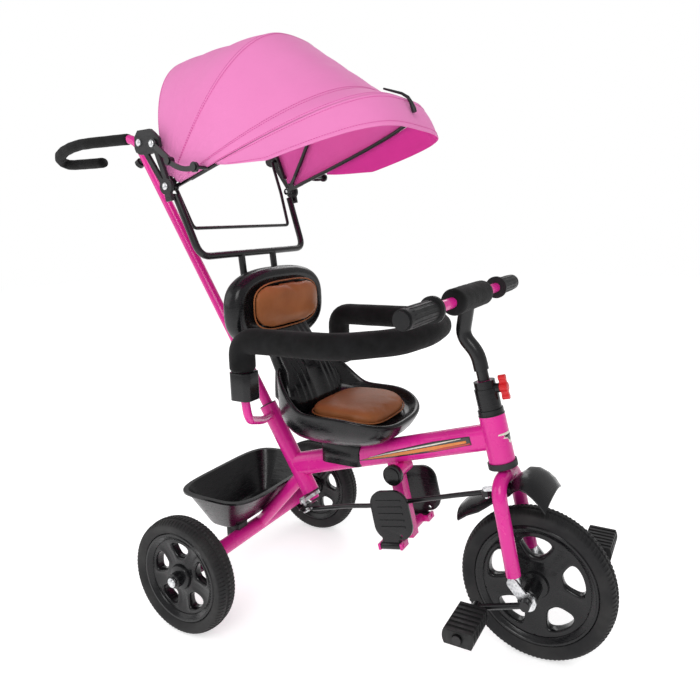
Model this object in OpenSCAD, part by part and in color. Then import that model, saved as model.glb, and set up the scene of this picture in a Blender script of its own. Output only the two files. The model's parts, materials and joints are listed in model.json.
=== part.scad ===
// Children's tricycle with a push pole, a safety bar, a folding canopy and a rear basket.
// Millimetres, +X forwards, +Y to the left, +Z up. The wheels stand on z = 0.

/* [Wheels] */
// Outer radius of the rear tyres
rear_wheel_r = 100; // [95:0.5:105]
// Outer radius of the front tyre
front_wheel_r = 122.5; // [118:0.5:126]
// Width of each tyre
tyre_w = 36; // [30:1:40]
// Distance from the centre plane to the middle of a rear wheel
rear_track = 190; // [186:1:196]
// Distance from the rear axle to the front axle
wheelbase = 551; // [548:1:554]

/* [Steering] */
// Backward lean of the steering axis, degrees
steer_lean = 13.3; // [12.8:0.1:13.8]
// Length of each crank arm
crank_len = 80; // [70:1:84]
// Half width of the handlebar over the grips
bar_half_w = 226; // [215:1:230]

/* [Push pole] */
// Radius of the push pole
pole_r = 9.5; // [9:0.1:9.5]
// Backward lean of the push pole, degrees
pole_lean = 30.3; // [29.8:0.1:30.8]
// Height of the push handle
handle_z = 853; // [830:1:870]

/* [Canopy] */
// Half width of the hood bows
bow_half_w = 148; // [147:0.5:148]
// Height of the hood pivot
hood_z = 744; // [742:0.5:746]
// Thickness of the canopy cloth
cloth_t = 2.5; // [2:0.1:3]

/* [Hidden] */
$fn = 48;

// The rear axle lies behind the middle of the whole tricycle
rear_axle_x = -52.5;
fit_gap = 0.06;

pink = [0.80, 0.13, 0.52];
cloth_pink = [0.94, 0.50, 0.76];
black = [0.05, 0.05, 0.06];
steel = [0.75, 0.76, 0.78];
brown = [0.36, 0.20, 0.14];
red = [0.80, 0.08, 0.08];

axle_r = 5;
crank_y = 65;
pedal_y = 109.5;
crank_drop = 18;
hub_half = 48;

// Steering axis: it leaves the point (steer_x, 0, front_wheel_r) and leans back
steer_x = 539;
steerer_r = 11;
steerer_bore = 9.5;
head_r = 21;
head_bore = 17;
head_lo = 194;
head_hi = 268;
collar_lo = 270;
collar_hi = 322;
collar_r = 18.5;
knob_s = 314;
stem_lo = 250;
stem_hi = 345;
stem_r = steerer_bore - 0.05;
bar_x = 440;
bar_z = 565;
bar_r = 8;
pad_half = 65;
pad_r = 20.5;
flange_y = 131;

// Fork: a tube bent into a U, its plane leaning a little less than the steering axis
fork_top = [500, 0, 288];
fork_lean = 11.6;
fork_r = 11.5;
fork_bend = 28;
fork_run = 13;
fork_splay = 3;
fork_leg = 110;

// Main tube: a flat-sided oval tube that climbs to the head tube
spine_from = [97, 0, 237];
spine_len = 404;
spine_rise = 16.2;
spine_w = 30;
spine_h = 42;

// Push pole and its sleeve: s is the distance up the pole from pole_origin
pole_origin = [84, 0, 261];
sleeve_lo = -83;
sleeve_hi = 95;
sleeve_r = 15.5;
sleeve_bore = 12;
bush_flange = 2;
pole_bottom = -98;
pole_corner = (handle_z - pole_origin[2]) / cos(pole_lean);
pole_bend = 28;
handle_start = -280;
handle_turn = -395;
foam_r = 11.5;
arm_s = -93;
arm_len = 28;

// Crown lug and link rod
lug_at = [478, -26, 266];
link_r = 4;
link_pin_r = 3;

// Seat
seat_floor = 360;
seat_rim = 378;
seat_n = 3.2;
back_top = 606;

// Safety bar
bar_post = [108, 140];
bar_foam_r = 21;
bar_tube_r = 9;
socket_lo = 403;
socket_hi = 449;
bar_level = 500;

// Footrest: a leaning plane through foot_at
foot_at = [325, 55, 199];
foot_lean = 12;
foot_pin_w = -40;
foot_t = 5;
foot_pin_r = 3;
foot_knob_at = [318, 0, 268];

// Hood: pivot, bows and layers, counted outwards from the centre plane
hood_x = -8;
bow_r = 3.5;
pin_r = 3;
bow_start = 36;
mid_layer = 146.5;
front_layer = 141.6;
front_half_w = 141;
eye_t = 3;
cloth_in = 152.5;
bracket_y = 157.5;
bracket_t = 5.5;
rear_lever_y = 163.5;
front_lever_y = 168;
lever_t = 4;
link_a = [-26, 811];
link_e = [10, 782];
link_b = [64, 770];
rear_phi = 106.3;
mid_phi = 58.6;
seam_phi = 25.4;
front_phi = 19.8;

// ---------- helpers ----------

function unit(v) = v / norm(v);
function lerp(a, b, t) = a + (b - a) * t;

// Unit tangents along a list of points
function tangents(p) = [for (i = [0:len(p) - 1])
    unit((i > 0 ? unit(p[i] - p[i - 1]) : 0 * p[0])
        + (i < len(p) - 1 ? unit(p[i + 1] - p[i]) : 0 * p[0]))];

// A normal carried along the tangents without twist
function carry(t, n, i = 0, out = []) = i == len(t) ? out
    : let (m = unit(n - (n * t[i]) * t[i])) carry(t, m, i + 1, concat(out, [m]));

function first_normal(t) = unit(cross(t, abs(t[2]) < 0.9 ? [0, 0, 1] : [1, 0, 0]));

// Rings of k points round a path, with one radius or one per point
function sweep_rings(p, r, k) = let (t = tangents(p), n = carry(t, first_normal(t[0])))
    [for (i = [0:len(p) - 1]) let (b = cross(t[i], n[i]), ri = is_list(r) ? r[i] : r)
        [for (j = [0:k - 1]) p[i] + ri * (cos(360 * j / k) * n[i] + sin(360 * j / k) * b)]];

// Path through the points with each inner corner rounded over the distance d
function round_path(p, d, k = 6) = [for (i = [0:len(p) - 1]) each
    (i == 0 || i == len(p) - 1) ? [p[i]]
    : let (a = p[i] + unit(p[i - 1] - p[i]) * d, b = p[i] + unit(p[i + 1] - p[i]) * d)
        [for (j = [0:k]) let (t = j / k) lerp(lerp(a, p[i], t), lerp(p[i], b, t), t)]];

// Closed solid through rings of equally many points
module loft(rings) {
    k = len(rings[0]);
    m = len(rings);
    sides = [for (j = [0:m - 2], i = [0:k - 1])
        let (a = j * k + i, b = j * k + (i + 1) % k) each [[a, a + k, b + k], [a, b + k, b]]];
    caps = [[for (i = [0:k - 1]) i], [for (i = [k - 1:-1:0]) (m - 1) * k + i]];
    polyhedron([for (r = rings, p = r) p], concat(sides, caps), convexity = 8);
}

module tube_path(p, r, k = 20) {
    loft(sweep_rings(p, r, k));
}

// Closed skin between an outer and an inner grid of points
module skin(outer, inner) {
    m = len(outer);
    k = len(outer[0]);
    o = m * k;
    walls = [for (j = [0:m - 2], i = [0:k - 2]) let (a = j * k + i, b = o + a) each
        [[a, a + k, a + k + 1], [a, a + k + 1, a + 1], [b, b + k + 1, b + k], [b, b + 1, b + k + 1]]];
    first = [for (i = [0:k - 2]) each [[i, i + 1, o + i + 1], [i, o + i + 1, o + i]]];
    last = [for (i = [0:k - 2]) let (a = (m - 1) * k + i) each
        [[a, o + a, o + a + 1], [a, o + a + 1, a + 1]]];
    left = [for (j = [0:m - 2]) let (a = j * k) each
        [[a, o + a, o + a + k], [a, o + a + k, a + k]]];
    right = [for (j = [0:m - 2]) let (a = j * k + k - 1) each
        [[a, a + k, o + a + k], [a, o + a + k, o + a]]];
    polyhedron([for (g = [outer, inner], r = g, p = r) p],
        concat(walls, first, last, left, right), convexity = 8);
}

// Straight round rod between two points
module rod(p, q, r) {
    d = q - p;
    translate(p)
        rotate([0, acos(d[2] / norm(d)), atan2(d[1], d[0])])
            cylinder(r = r, h = norm(d));
}

// Cylinder along Y from y0 to y1 round the point (x, z)
module y_rod(x, z, r, y0, y1) {
    translate([x, y1, z])
        rotate([90, 0, 0])
            cylinder(r = r, h = y1 - y0);
}

// Flat bar with round ends, drawn in a plane
module bar2d(p, q, w) {
    d = q - p;
    translate(p)
        rotate(atan2(d[1], d[0]))
            translate([0, -w / 2])
                square([norm(d), w]);
    translate(p)
        circle(d = w);
    translate(q)
        circle(d = w);
}

// Plate in the XZ plane from y0 outwards to y0 + t
module xz_plate(y0, t) {
    translate([0, y0 + t, 0])
        rotate([90, 0, 0])
            linear_extrude(t)
                children();
}

module rounded_block(size, r) {
    for (sx = [-1, 1], sy = [-1, 1])
        translate([sx * (size[0] / 2 - r), sy * (size[1] / 2 - r), 0])
            cylinder(r = r, h = size[2]);
    translate([-size[0] / 2 + r, -size[1] / 2, 0])
        cube([size[0] - 2 * r, size[1], size[2]]);
    translate([-size[0] / 2, -size[1] / 2 + r, 0])
        cube([size[0], size[1] - 2 * r, size[2]]);
}

module place() {
    translate([rear_axle_x, 0, 0])
        children();
}

module both_sides() {
    children();
    mirror([0, 1, 0])
        children();
}

module steer_frame() {
    translate([steer_x, 0, front_wheel_r])
        rotate([0, -steer_lean, 0])
            children();
}

module pole_frame() {
    translate(pole_origin)
        rotate([0, -pole_lean, 0])
            children();
}

module fork_frame() {
    translate(fork_top)
        rotate([0, -fork_lean, 0])
            children();
}

// Leaning plane of a footplate; its local Z runs up the plate
module foot_frame() {
    translate([foot_at[0], 0, foot_at[2]])
        rotate([0, -foot_lean, 0])
            children();
}

// Point at distance s up the push pole
function pole_point(s) = pole_origin + s * [-sin(pole_lean), 0, cos(pole_lean)];

// ---------- frame ----------

module spine_solid() {
    translate(spine_from)
        rotate([0, 90 - spine_rise, 0])
            linear_extrude(spine_len)
                union() {
                    square([spine_h - spine_w, spine_w], center = true);
                    for (s = [-1, 1])
                        translate([s * (spine_h - spine_w) / 2, 0])
                            circle(d = spine_w);
                }
}

module sleeve_solid(r) {
    pole_frame()
        translate([0, 0, sleeve_lo])
            cylinder(r = r, h = sleeve_hi - sleeve_lo);
}

module main_tube() {
    color(pink) place() difference() {
        union() {
            spine_solid();
            steer_frame()
                translate([0, 0, head_lo])
                    cylinder(r = head_r, h = head_hi - head_lo);
        }
        steer_frame()
            translate([0, 0, head_lo - 30])
                cylinder(r = head_bore, h = head_hi - head_lo + 60);
        sleeve_solid(sleeve_r);
    }
}

// One bush: a liner with a flange on its end
module bush(liner_r, bore, flange_r, depth, flange_t) {
    difference() {
        union() {
            cylinder(r = liner_r, h = depth);
            translate([0, 0, -flange_t])
                cylinder(r = flange_r, h = flange_t);
        }
        translate([0, 0, -flange_t - 1])
            cylinder(r = bore, h = depth + flange_t + 2);
    }
}

module bearing_bushes() {
    color(black) place() {
        steer_frame() {
            translate([0, 0, head_lo])
                bush(head_bore, steerer_r + fit_gap, 23.5, 14, 9.4);
            translate([0, 0, head_hi])
                mirror([0, 0, 1])
                    bush(head_bore, steerer_r + fit_gap, head_r, 14, 1.4);
        }
        pole_frame() {
            translate([0, 0, sleeve_lo])
                bush(sleeve_bore, pole_r + fit_gap, sleeve_r, 20, bush_flange);
            translate([0, 0, sleeve_hi])
                mirror([0, 0, 1])
                    bush(sleeve_bore, pole_r + fit_gap, sleeve_r, 20, bush_flange);
        }
    }
}

module pole_sleeve() {
    color(pink) place() pole_frame() difference() {
        translate([0, 0, sleeve_lo])
            cylinder(r = sleeve_r, h = sleeve_hi - sleeve_lo);
        translate([0, 0, sleeve_lo - 1])
            cylinder(r = sleeve_bore, h = sleeve_hi - sleeve_lo + 2);
    }
}

beam_r = 14;
beam_half = 160;

module rear_stay() {
    color(pink) place() difference() {
        rod([0, 0, rear_wheel_r], [112, 0, 221.6], 12);
        y_rod(0, rear_wheel_r, beam_r, -60, 60);
        sleeve_solid(sleeve_r);
    }
}

module axle_beam() {
    color(pink) place() difference() {
        y_rod(0, rear_wheel_r, beam_r, -beam_half, beam_half);
        y_rod(0, rear_wheel_r, axle_r + 0.1, -beam_half - 1, beam_half + 1);
    }
}

module rear_axle() {
    color(steel) place() {
        y_rod(0, rear_wheel_r, axle_r, -218, 218);
        both_sides() {
            y_rod(0, rear_wheel_r, 8, -219, -215.8);
            translate([0, -219, rear_wheel_r])
                scale([1, 0.3, 1])
                    sphere(r = 6.6);
        }
    }
}

// Bent arms that carry the safety bar's sockets
module bar_support() {
    arm = round_path([[52, -13.5, 329], [75, -62, 338], [108, -134, 366], [109, -140, 404]], 20);
    color(pink) place() both_sides()
        tube_path(arm, 7, 16);
}

module bar_sockets() {
    color(black) place() both_sides()
        translate([110, -bar_post[1], socket_lo + 1])
            difference() {
                rounded_block([40, 34, socket_hi - socket_lo - 1], 10);
                translate([bar_post[0] - 110, 0, 6])
                    cylinder(r = bar_tube_r + fit_gap, h = 60);
            }
}

module footrest_bracket() {
    color(pink) place() {
        difference() {
            translate([foot_at[0], 0, foot_at[2]])
                rotate([0, -foot_lean, 0])
                    translate([-13, -10, -50])
                        cube([20, 20, 145]);
            spine_solid();
        }
        foot_frame() {
            y_rod(-3, foot_pin_w, 8, -44, 44);
            both_sides()
                for (v = [-30.5, 10.5])
                    translate([v, -62, foot_pin_w - 5])
                        cube([4, 22, 10]);
            both_sides()
                translate([-30.5, -44.5, foot_pin_w - 5])
                    cube([45, 4, 10]);
            both_sides()
                translate([-32, -foot_at[1], foot_pin_w])
                    rotate([0, 90, 0])
                        cylinder(r = foot_pin_r, h = 48);
        }
        y_rod(foot_knob_at[0], foot_knob_at[2], 4, -24, 22);
        difference() {
            y_rod(foot_knob_at[0], foot_knob_at[2], 11, -19.5, 19.5);
            spine_solid();
        }
    }
}

// ---------- seat ----------

// The front of the seat droops
function droop(ring) = [for (p = ring)
    p - [0, 0, p[0] > 245 ? 14 * pow((p[0] - 245) / 90, 2) : 0]];

function oval_ring(z, cx, hx, hy, n = seat_n, k = 64) = [for (i = [0:k - 1])
    let (a = 360 * i / k, c = cos(a), s = sin(a))
        [cx + hx * sign(c) * pow(abs(c), 2 / n), hy * sign(s) * pow(abs(s), 2 / n), z]];

module seat_pan() {
    color(black) place() {
        loft([
            oval_ring(312, 205, 75, 60),
            oval_ring(330, 208, 100, 85),
            droop(oval_ring(352, 211, 111, 100)),
            droop(oval_ring(372, 215, 116, 104)),
            droop(oval_ring(373, 215, 119, 107)),
            droop(oval_ring(seat_rim, 215, 119, 107)),
            droop(oval_ring(seat_rim, 215, 111, 99)),
            oval_ring(seat_floor, 213, 100, 91)
        ]);
        difference() {
            translate([205, 0, 262])
                rounded_block([80, 40, 50], 12);
            spine_solid();
        }
    }
}

// Ring with upright flutes across its front
function fluted_ring(z, cx, hx, hy) = [for (p = oval_ring(z, cx, hx, hy, 4, 96))
    [p[0] - (p[0] > cx ? 1.2 * (1 + cos(360 * p[1] / 13)) : 0), p[1], p[2]]];

module seat_back() {
    color(black) place()
        loft([
            fluted_ring(seat_floor, 143, 22, 60),
            fluted_ring(377, 140, 26, 68),
            fluted_ring(379, 134, 33, 88),
            fluted_ring(400, 132, 26, 77),
            fluted_ring(430, 122, 22, 64),
            fluted_ring(468, 98, 20, 61),
            oval_ring(480, 73, 19, 92, 4, 96),
            oval_ring(500, 68, 20, 115, 4, 96),
            oval_ring(540, 67, 19, 123, 4, 96),
            oval_ring(577, 68, 20, 115, 4, 96),
            oval_ring(594, 69, 18, 92, 4, 96),
            oval_ring(603, 69, 14, 60, 4, 96),
            oval_ring(back_top, 69, 8, 24, 4, 96)
        ]);
}

module seat_cushion() {
    color(brown) place()
        loft([
            oval_ring(seat_floor, 238, 66, 74, 4),
            oval_ring(365, 237, 68, 76, 4),
            oval_ring(373, 237, 68, 76, 4),
            oval_ring(380, 238, 61, 70, 4),
            oval_ring(383, 238, 44, 52, 4)
        ]);
}

module back_cushion() {
    color(brown) place()
        translate([88.6, 0, 540.5])
            rotate([0, 90, 0])
                loft([
                    oval_ring(0, 0, 41, 88, 3.4),
                    oval_ring(6, 0, 43, 90, 3.4),
                    oval_ring(10, 0, 38, 84, 3.4),
                    oval_ring(13, 0, 22, 60, 3)
                ]);
}

// ---------- basket ----------

module basket() {
    color(black) place()
        loft([
            oval_ring(125, -27.5, 32, 77, 4),
            oval_ring(130, -27, 36, 81, 4),
            oval_ring(196, -13, 79, 116, 4.5),
            oval_ring(196.5, -13, 84.5, 121.5, 4.5),
            oval_ring(200, -13, 84.5, 121.5, 4.5),
            oval_ring(200, -13, 77, 114, 4.5),
            oval_ring(132, -27, 33.5, 78.5, 4),
            oval_ring(128, -27.5, 30, 75, 4)
        ]);
}

module basket_saddles() {
    color(black) place() both_sides() difference() {
        translate([-27, -62, rear_wheel_r - 6])
            cube([30, 24, 31]);
        y_rod(0, rear_wheel_r, beam_r, -70, -30);
    }
}

// ---------- hood, fixed pieces ----------

module hood_frame() {
    cross_x = 30;
    loop = round_path([[-5, -146, 731], [cross_x, -137, 631], [cross_x, 137, 631], [-5, 146, 731]], 22);
    color(black) place() {
        tube_path(loop, 6, 16);
        both_sides() {
            tube_path([[cross_x, -42, 631], [38, -42, 545]], 6, 16);
            y_rod(-5.5, 729, 4, -bracket_y, -146);
        }
    }
}

module hood_mounts() {
    color(black) place() both_sides() difference() {
        translate([27, -53, 528])
            cube([20.6, 22, 34]);
        rod([38.2, -42, 543], [36.4, -42, 564], 6.1);
    }
}

module hood_rod() {
    side = [[-42, -bracket_y, 808], [-42, -142, 806], [-16, -134, 741], [6, -124, 677]];
    far_side = [for (i = [3:-1:0]) [side[i][0], -side[i][1], side[i][2]]];
    color(black) place()
        tube_path(round_path(concat(side, far_side), 8), 3, 12);
}

// Point of a bow: phi is the angle of its plane, r and w its height and half width
function bow_point(phi, r, y) = [hood_x + r * cos(phi), y, hood_z + r * sin(phi)];
function bow_curve(phi, r, w, n, r0, k = 36) = let (t0 = asin(pow(r0 / r, n / 2)))
    [for (i = [0:k]) let (t = lerp(t0, 180 - t0, i / k))
        bow_point(phi, r * pow(sin(t), 2 / n), -w * sign(cos(t)) * pow(abs(cos(t)), 2 / n))];

rear_bow_r = 230;
mid_bow_r = 277;
front_bow_r = 360;
rear_n = 2.2;
mid_n = 2.7;
front_n = 3.6;

module bow_tube(phi, r, w, n, r0) {
    tube_path(bow_curve(phi, r, w, n, r0, 32), bow_r, 12);
}

module rear_bow() {
    foot = bow_point(rear_phi, 30, 0);
    color(black) place() {
        bow_tube(rear_phi, rear_bow_r, bow_half_w, rear_n, 28);
        both_sides()
            y_rod(foot[0], foot[2], 3, -bracket_y, -bow_half_w);
    }
}

// Straight bar with square ends, drawn in a plane
module strip2d(p, q, w) {
    d = q - p;
    translate(p)
        rotate(atan2(d[1], d[0]))
            translate([0, -w / 2])
                square([norm(d), w]);
}

// Side plate seen along Y: a block on twin bars that rise from the hub
module bracket_outline() {
    block = [
        [-68, 800], [-71, 806], [-70, 824], [-62, 834], [-34, 835], [-26, 829], [-16, 820], [-15, 808],
        [-22, 799], [-40, 796], [-60, 796]
    ];
    difference() {
        union() {
            polygon(block);
            translate([hood_x, hood_z])
                circle(r = 13);
            strip2d([hood_x - 6, hood_z + 4], [-52, 804], 8);
            strip2d([hood_x + 3, hood_z + 4], [-26, 804], 8);
            strip2d([hood_x + 1, hood_z], [-3, 721], 13);
        }
        for (hole = [[hood_x, hood_z], link_a, [-60, 815]])
            translate(hole)
                circle(r = pin_r);
    }
}

module hood_bracket() {
    color(black) place()
        xz_plate(-bracket_y - bracket_t, bracket_t)
            bracket_outline();
}

module hood_bracket_r() {
    hood_bracket();
}

module hood_bracket_l() {
    mirror([0, 1, 0])
        hood_bracket();
}

// Pin with a domed head on its outer end
module rivet(x, z, y_in, y_out) {
    y_rod(x, z, pin_r, -y_out, -y_in);
    y_rod(x, z, 5.5, -y_out - 1.5, -y_out);
    translate([x, -y_out - 1.5, z])
        scale([1, 0.35, 1])
            sphere(r = 5);
}

module rivets() {
    color(steel) place() both_sides() {
        rivet(hood_x, hood_z, front_layer - 1, bracket_y + bracket_t + 0.1);
        rivet(-60, 815, 152, bracket_y + bracket_t + 0.1);
        rivet(link_a[0], link_a[1], bracket_y, rear_lever_y + lever_t + 0.2);
    }
}

// Cloth stations from front to rear: angle, radius, half width, exponent, thickness along the radius
cloth_w = cloth_in + cloth_t;
hem_w = cloth_w - 7;
hem_r = 371;
stations = [
    [front_phi, hem_r, hem_w, front_n, 4.2],
    [22.4, 350, cloth_w - 4, 3.2, 4],
    [seam_phi, 330, cloth_w - 1, 2.8, 3.6],
    [31, 313.5, cloth_w, 2.8, 3],
    [40, 296, cloth_w, 2.8, 2.8],
    [50, 286.5, cloth_w, 2.75, 2.8],
    [mid_phi, 285, cloth_w, mid_n, 3.1],
    [75, 248, cloth_w, 2.5, 3],
    [91, 235, cloth_w, 2.35, 2.8],
    [rear_phi, 237, cloth_w, rear_n, 2.6]
];

module canopy() {
    foot = bow_point(rear_phi, 30, 0);
    color(cloth_pink) place() difference() {
        skin([for (s = stations) bow_curve(s[0], s[1], s[2], s[3], 16, 40)],
            [for (s = stations) bow_curve(s[0], s[1] - s[4], s[2] - cloth_t, s[3], 16, 40)]);
        both_sides() {
            y_rod(foot[0], foot[2], 3.6, -160, -140);
            y_rod(link_b[0], link_b[1], 4.5, -160, -140);
        }
    }
}

// ---------- fork and front wheel ----------

// Half of the fork tube's centre line, in the fork's own frame
fork_leg_y = fork_run + fork_bend + fork_leg * sin(fork_splay);
fork_leg_z = -fork_bend - fork_leg * cos(fork_splay);

module fork() {
    side = [[0, -fork_leg_y, fork_leg_z], [0, -fork_run - fork_bend, 0]];
    color(pink) place() {
        fork_frame()
            tube_path(round_path([side[0], side[1], [0, -side[1][1], 0], [0, fork_leg_y, fork_leg_z]],
                fork_bend, 8), fork_r, 28);
        steer_frame()
            translate([0, 0, 168])
                difference() {
                    cylinder(r = steerer_r, h = collar_hi - 168);
                    translate([0, 0, stem_lo - 203])
                        cylinder(r = steerer_bore, h = 200);
                }
    }
}

// Flattened fork ends that hold the crank axle
module dropouts() {
    plate_y = 54;
    color(steel) place() both_sides() difference() {
        union() {
            fork_frame()
                rod([0, -fork_leg_y, fork_leg_z], [0, -fork_leg_y - 1, fork_leg_z - 15], 10);
            xz_plate(-plate_y - 4, 4) {
                bar2d([529, 146], [549, 124], 17);
                translate([wheelbase, front_wheel_r])
                    circle(r = 14);
            }
        }
        y_rod(wheelbase, front_wheel_r, axle_r + fit_gap, -80, -20);
    }
}

// Fender profile: angle about the front axle, radius, half width
fender_rows = [
    [80, 154, 50], [84, 164, 51], [88, 172, 50], [92, 178, 47], [96, 179, 42], [100, 172, 33],
    [104, 163, 27], [109, 159, 26], [114, 157, 27], [119, 155, 32], [125, 155, 40], [132, 160, 44],
    [139, 163, 45]
];

function fender_point(row, u, drop) = let (r = row[1] - drop - 11 * pow(abs(u), 2.6))
    [wheelbase + r * cos(row[0]), u * row[2], front_wheel_r + r * sin(row[0])];

module fender() {
    t = 2.6;
    cols = [for (i = [0:14]) i / 7 - 1];
    color(black) place() {
        skin([for (row = fender_rows) [for (u = cols) fender_point(row, u, 0)]],
            [for (row = fender_rows) [for (u = cols) fender_point(row, u, t)]]);
        rod([499.5, 0, 270], [499.5, 0, 276.2], 7);
    }
}

module collar() {
    color(black) place() steer_frame() difference() {
        union() {
            translate([0, 0, collar_lo])
                cylinder(r = collar_r, h = 40);
            translate([0, 0, collar_lo + 40])
                cylinder(r = collar_r - 1.5, h = collar_hi - collar_lo - 40);
            translate([0, 0, collar_lo])
                cylinder(r = collar_r + 2, h = 7);
            translate([0, 0, knob_s - 6])
                rotate([0, 90, 0])
                    cylinder(r = 7.5, h = 23.5);
        }
        translate([0, 0, collar_lo - 1])
            cylinder(r = steerer_r, h = collar_hi - collar_lo + 2);
        translate([0, 0, knob_s - 6])
            rotate([0, 90, 0])
                cylinder(r = 3 + fit_gap, h = 40);
    }
}

module steer_lug() {
    color(steel) place() difference() {
        union() {
            translate([0, 0, 6.5])
                linear_plate(lug_at, [494, -26, 270], 14, 3.5);
            translate(lug_at)
                rotate([0, -steer_lean, 0])
                    translate([0, 0, -6])
                        cylinder(r = link_pin_r, h = 12);
            translate(lug_at)
                rotate([0, -steer_lean, 0])
                    translate([0, 0, -7.5])
                        cylinder(r = 5, h = 3);
        }
        fork_frame()
            y_rod(0, 0, fork_r, -60, 60);
    }
}

// Flat bar of width w and thickness t from p to q
module linear_plate(p, q, w, t) {
    d = q - p;
    translate(p)
        rotate([0, -atan2(d[2], d[0]), 0])
            union() {
                translate([0, -w / 2, -t / 2])
                    cube([norm(d), w, t]);
                translate([0, 0, -t / 2])
                    cylinder(d = w, h = t);
            }
}

module clamp_knob() {
    color(red) place() steer_frame()
        translate([0, 0, knob_s - 6])
            rotate([0, 90, 0]) {
                translate([0, 0, 19.5])
                    cylinder(r = 3, h = 10);
                translate([0, 0, 24])
                    cylinder(r = 7, h = 12);
                for (a = [0, 180])
                    rotate([0, 0, a])
                        translate([0, -3, 24.5])
                            cube([15, 6, 11]);
                for (s = [-1, 1])
                    translate([15 * s, 0, 24.5])
                        cylinder(r = 4.5, h = 11);
            }
}

function stem_end() = [steer_x - stem_hi * sin(steer_lean), 0, front_wheel_r + stem_hi * cos(steer_lean)];
bar_at = [bar_x, 0, bar_z];
stem_knee = [430, 0, 505];
upper_r = 12;

module stem() {
    steer_up = [-sin(steer_lean), 0, cos(steer_lean)];
    top = bar_at + bar_r * unit(stem_knee - bar_at);
    color(black) place() {
        steer_frame()
            translate([0, 0, stem_lo])
                cylinder(r = stem_r, h = stem_hi - stem_lo);
        tube_path(round_path([stem_end() - 6 * steer_up, stem_end() + 20 * steer_up, stem_knee, top], 14),
            upper_r, 24);
    }
}

module crossbar() {
    color(pink) place()
        y_rod(bar_x, bar_z, bar_r, -135.5, 135.5);
}

module bar_pad() {
    color(black) place() difference() {
        y_rod(bar_x, bar_z, pad_r, -pad_half, pad_half);
        y_rod(bar_x, bar_z, bar_r, -pad_half - 1, pad_half + 1);
        rod(lerp(stem_knee, bar_at, 0.2), bar_at, upper_r + 0.2);
    }
}

module grips() {
    color(black) place() both_sides() {
        difference() {
            y_rod(bar_x, bar_z, 19, -136, -flange_y);
            y_rod(bar_x, bar_z, bar_r, -135.5, -100);
        }
        y_rod(bar_x, bar_z, 14, -bar_half_w + 5, -136);
        y_rod(bar_x, bar_z, 11.5, -bar_half_w, -bar_half_w + 5);
    }
}

// Tyre with a crowned tread, turned round Y
module tyre(x, y, z, r, wall) {
    half = tyre_w / 2;
    translate([x, y, z])
        rotate([90, 0, 0])
            rotate_extrude($fn = 96)
                polygon(concat(
                    [[r - wall, -half + 4], [r - 9, -half]],
                    [for (a = [-75:15:75]) [r - 9 + 9 * cos(a), half * sin(a) / sin(75)]],
                    [[r - 9, half], [r - wall, half - 4]]
                ));
}

// Moulded wheel: rim, web with five windows, ribs and hub
module wheel_core(x, y, z, r_out, r_in, hub_r, hub_h, bore) {
    web = 7;
    span = 27;
    translate([x, y, z])
        rotate([90, 0, 0])
            difference() {
                union() {
                    rotate_extrude($fn = 96)
                        polygon([
                            [r_in, -4], [r_in + 3, -15], [r_out - 2, -15], [r_out, -13],
                            [r_out, 13], [r_out - 2, 15], [r_in + 3, 15], [r_in, 4]
                        ]);
                    translate([0, 0, -web / 2])
                        cylinder(r = r_in + 2, h = web);
                    translate([0, 0, -hub_h])
                        cylinder(r = hub_r, h = 2 * hub_h);
                    for (s = [-1, 1])
                        translate([0, 0, s > 0 ? 3 : -11])
                            cylinder(r = hub_r + 9, h = 8);
                    for (i = [0:4])
                        rotate(72 * i + 36)
                            translate([hub_r, -4, -10])
                                cube([r_in - hub_r + 1, 8, 20]);
                }
                translate([0, 0, -hub_h - 1])
                    cylinder(r = bore, h = 2 * hub_h + 2);
                for (i = [0:4])
                    rotate(72 * i)
                        translate([0, 0, -12])
                            linear_extrude(24)
                                polygon(concat(
                                    [for (a = [-span + 2:(span - 2) / 4:span - 2]) (r_in - 3) * [cos(a), sin(a)]],
                                    [for (a = [16:-16:-16]) (hub_r + 13) * [cos(a), sin(a)]]
                                ));
            }
}

module front_tyre() {
    color(black) place()
        tyre(wheelbase, 0, front_wheel_r, front_wheel_r, 24.5);
}

module front_rim() {
    color(black) place()
        wheel_core(wheelbase, 0, front_wheel_r, front_wheel_r - 24.5, 84, 13, hub_half, axle_r);
}

function crank_pin(side) = [wheelbase + side * crank_len * cos(crank_drop), 0,
    front_wheel_r + side * crank_len * sin(crank_drop)];

module crank() {
    boss = 5.2;
    arm_r = 4.6;
    color(black) place() {
        y_rod(wheelbase, front_wheel_r, axle_r, -crank_y, crank_y);
        for (side = [-1, 1]) {
            pin = crank_pin(side);
            y = side * crank_y;
            rod([wheelbase, y, front_wheel_r], [pin[0], y, pin[2]], arm_r);
            y_rod(wheelbase, front_wheel_r, 7.5, y - boss, y + boss);
            y_rod(pin[0], pin[2], 7.5, y - boss, y + boss);
            y_rod(pin[0], pin[2], axle_r, min(y, side * 145), max(y, side * 145));
            y_rod(pin[0], pin[2], 7, side > 0 ? 143.6 : -146.6, side > 0 ? 146.6 : -143.6);
        }
    }
}

// Ribbed block pedal round its spindle
module pedal(side) {
    pin = crank_pin(side);
    half = 33;
    color(black) place()
        translate([pin[0], side * pedal_y, pin[2]])
            difference() {
                union() {
                    translate([0, 0, -10])
                        rounded_block([44, 2 * half, 20], 8);
                    for (i = [-3:3])
                        translate([0, 10 * i, 0])
                            intersection() {
                                translate([-24, -2.5, -12])
                                    cube([48, 5, 24]);
                                rotate([90, 0, 0])
                                    cylinder(r = 24, h = 6, center = true);
                            }
                }
                y_rod(0, 0, axle_r + fit_gap, -half - 2, half + 2);
                y_rod(0, 0, 8, side > 0 ? half - 3 : -half - 2, side > 0 ? half + 2 : -half + 3);
            }
}

module pedal_r() {
    pedal(-1);
}

module pedal_l() {
    pedal(1);
}

// ---------- rear wheels ----------

module rear_tyre(side) {
    color(black) place()
        tyre(0, side * rear_track, rear_wheel_r, rear_wheel_r, 22);
}

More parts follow.
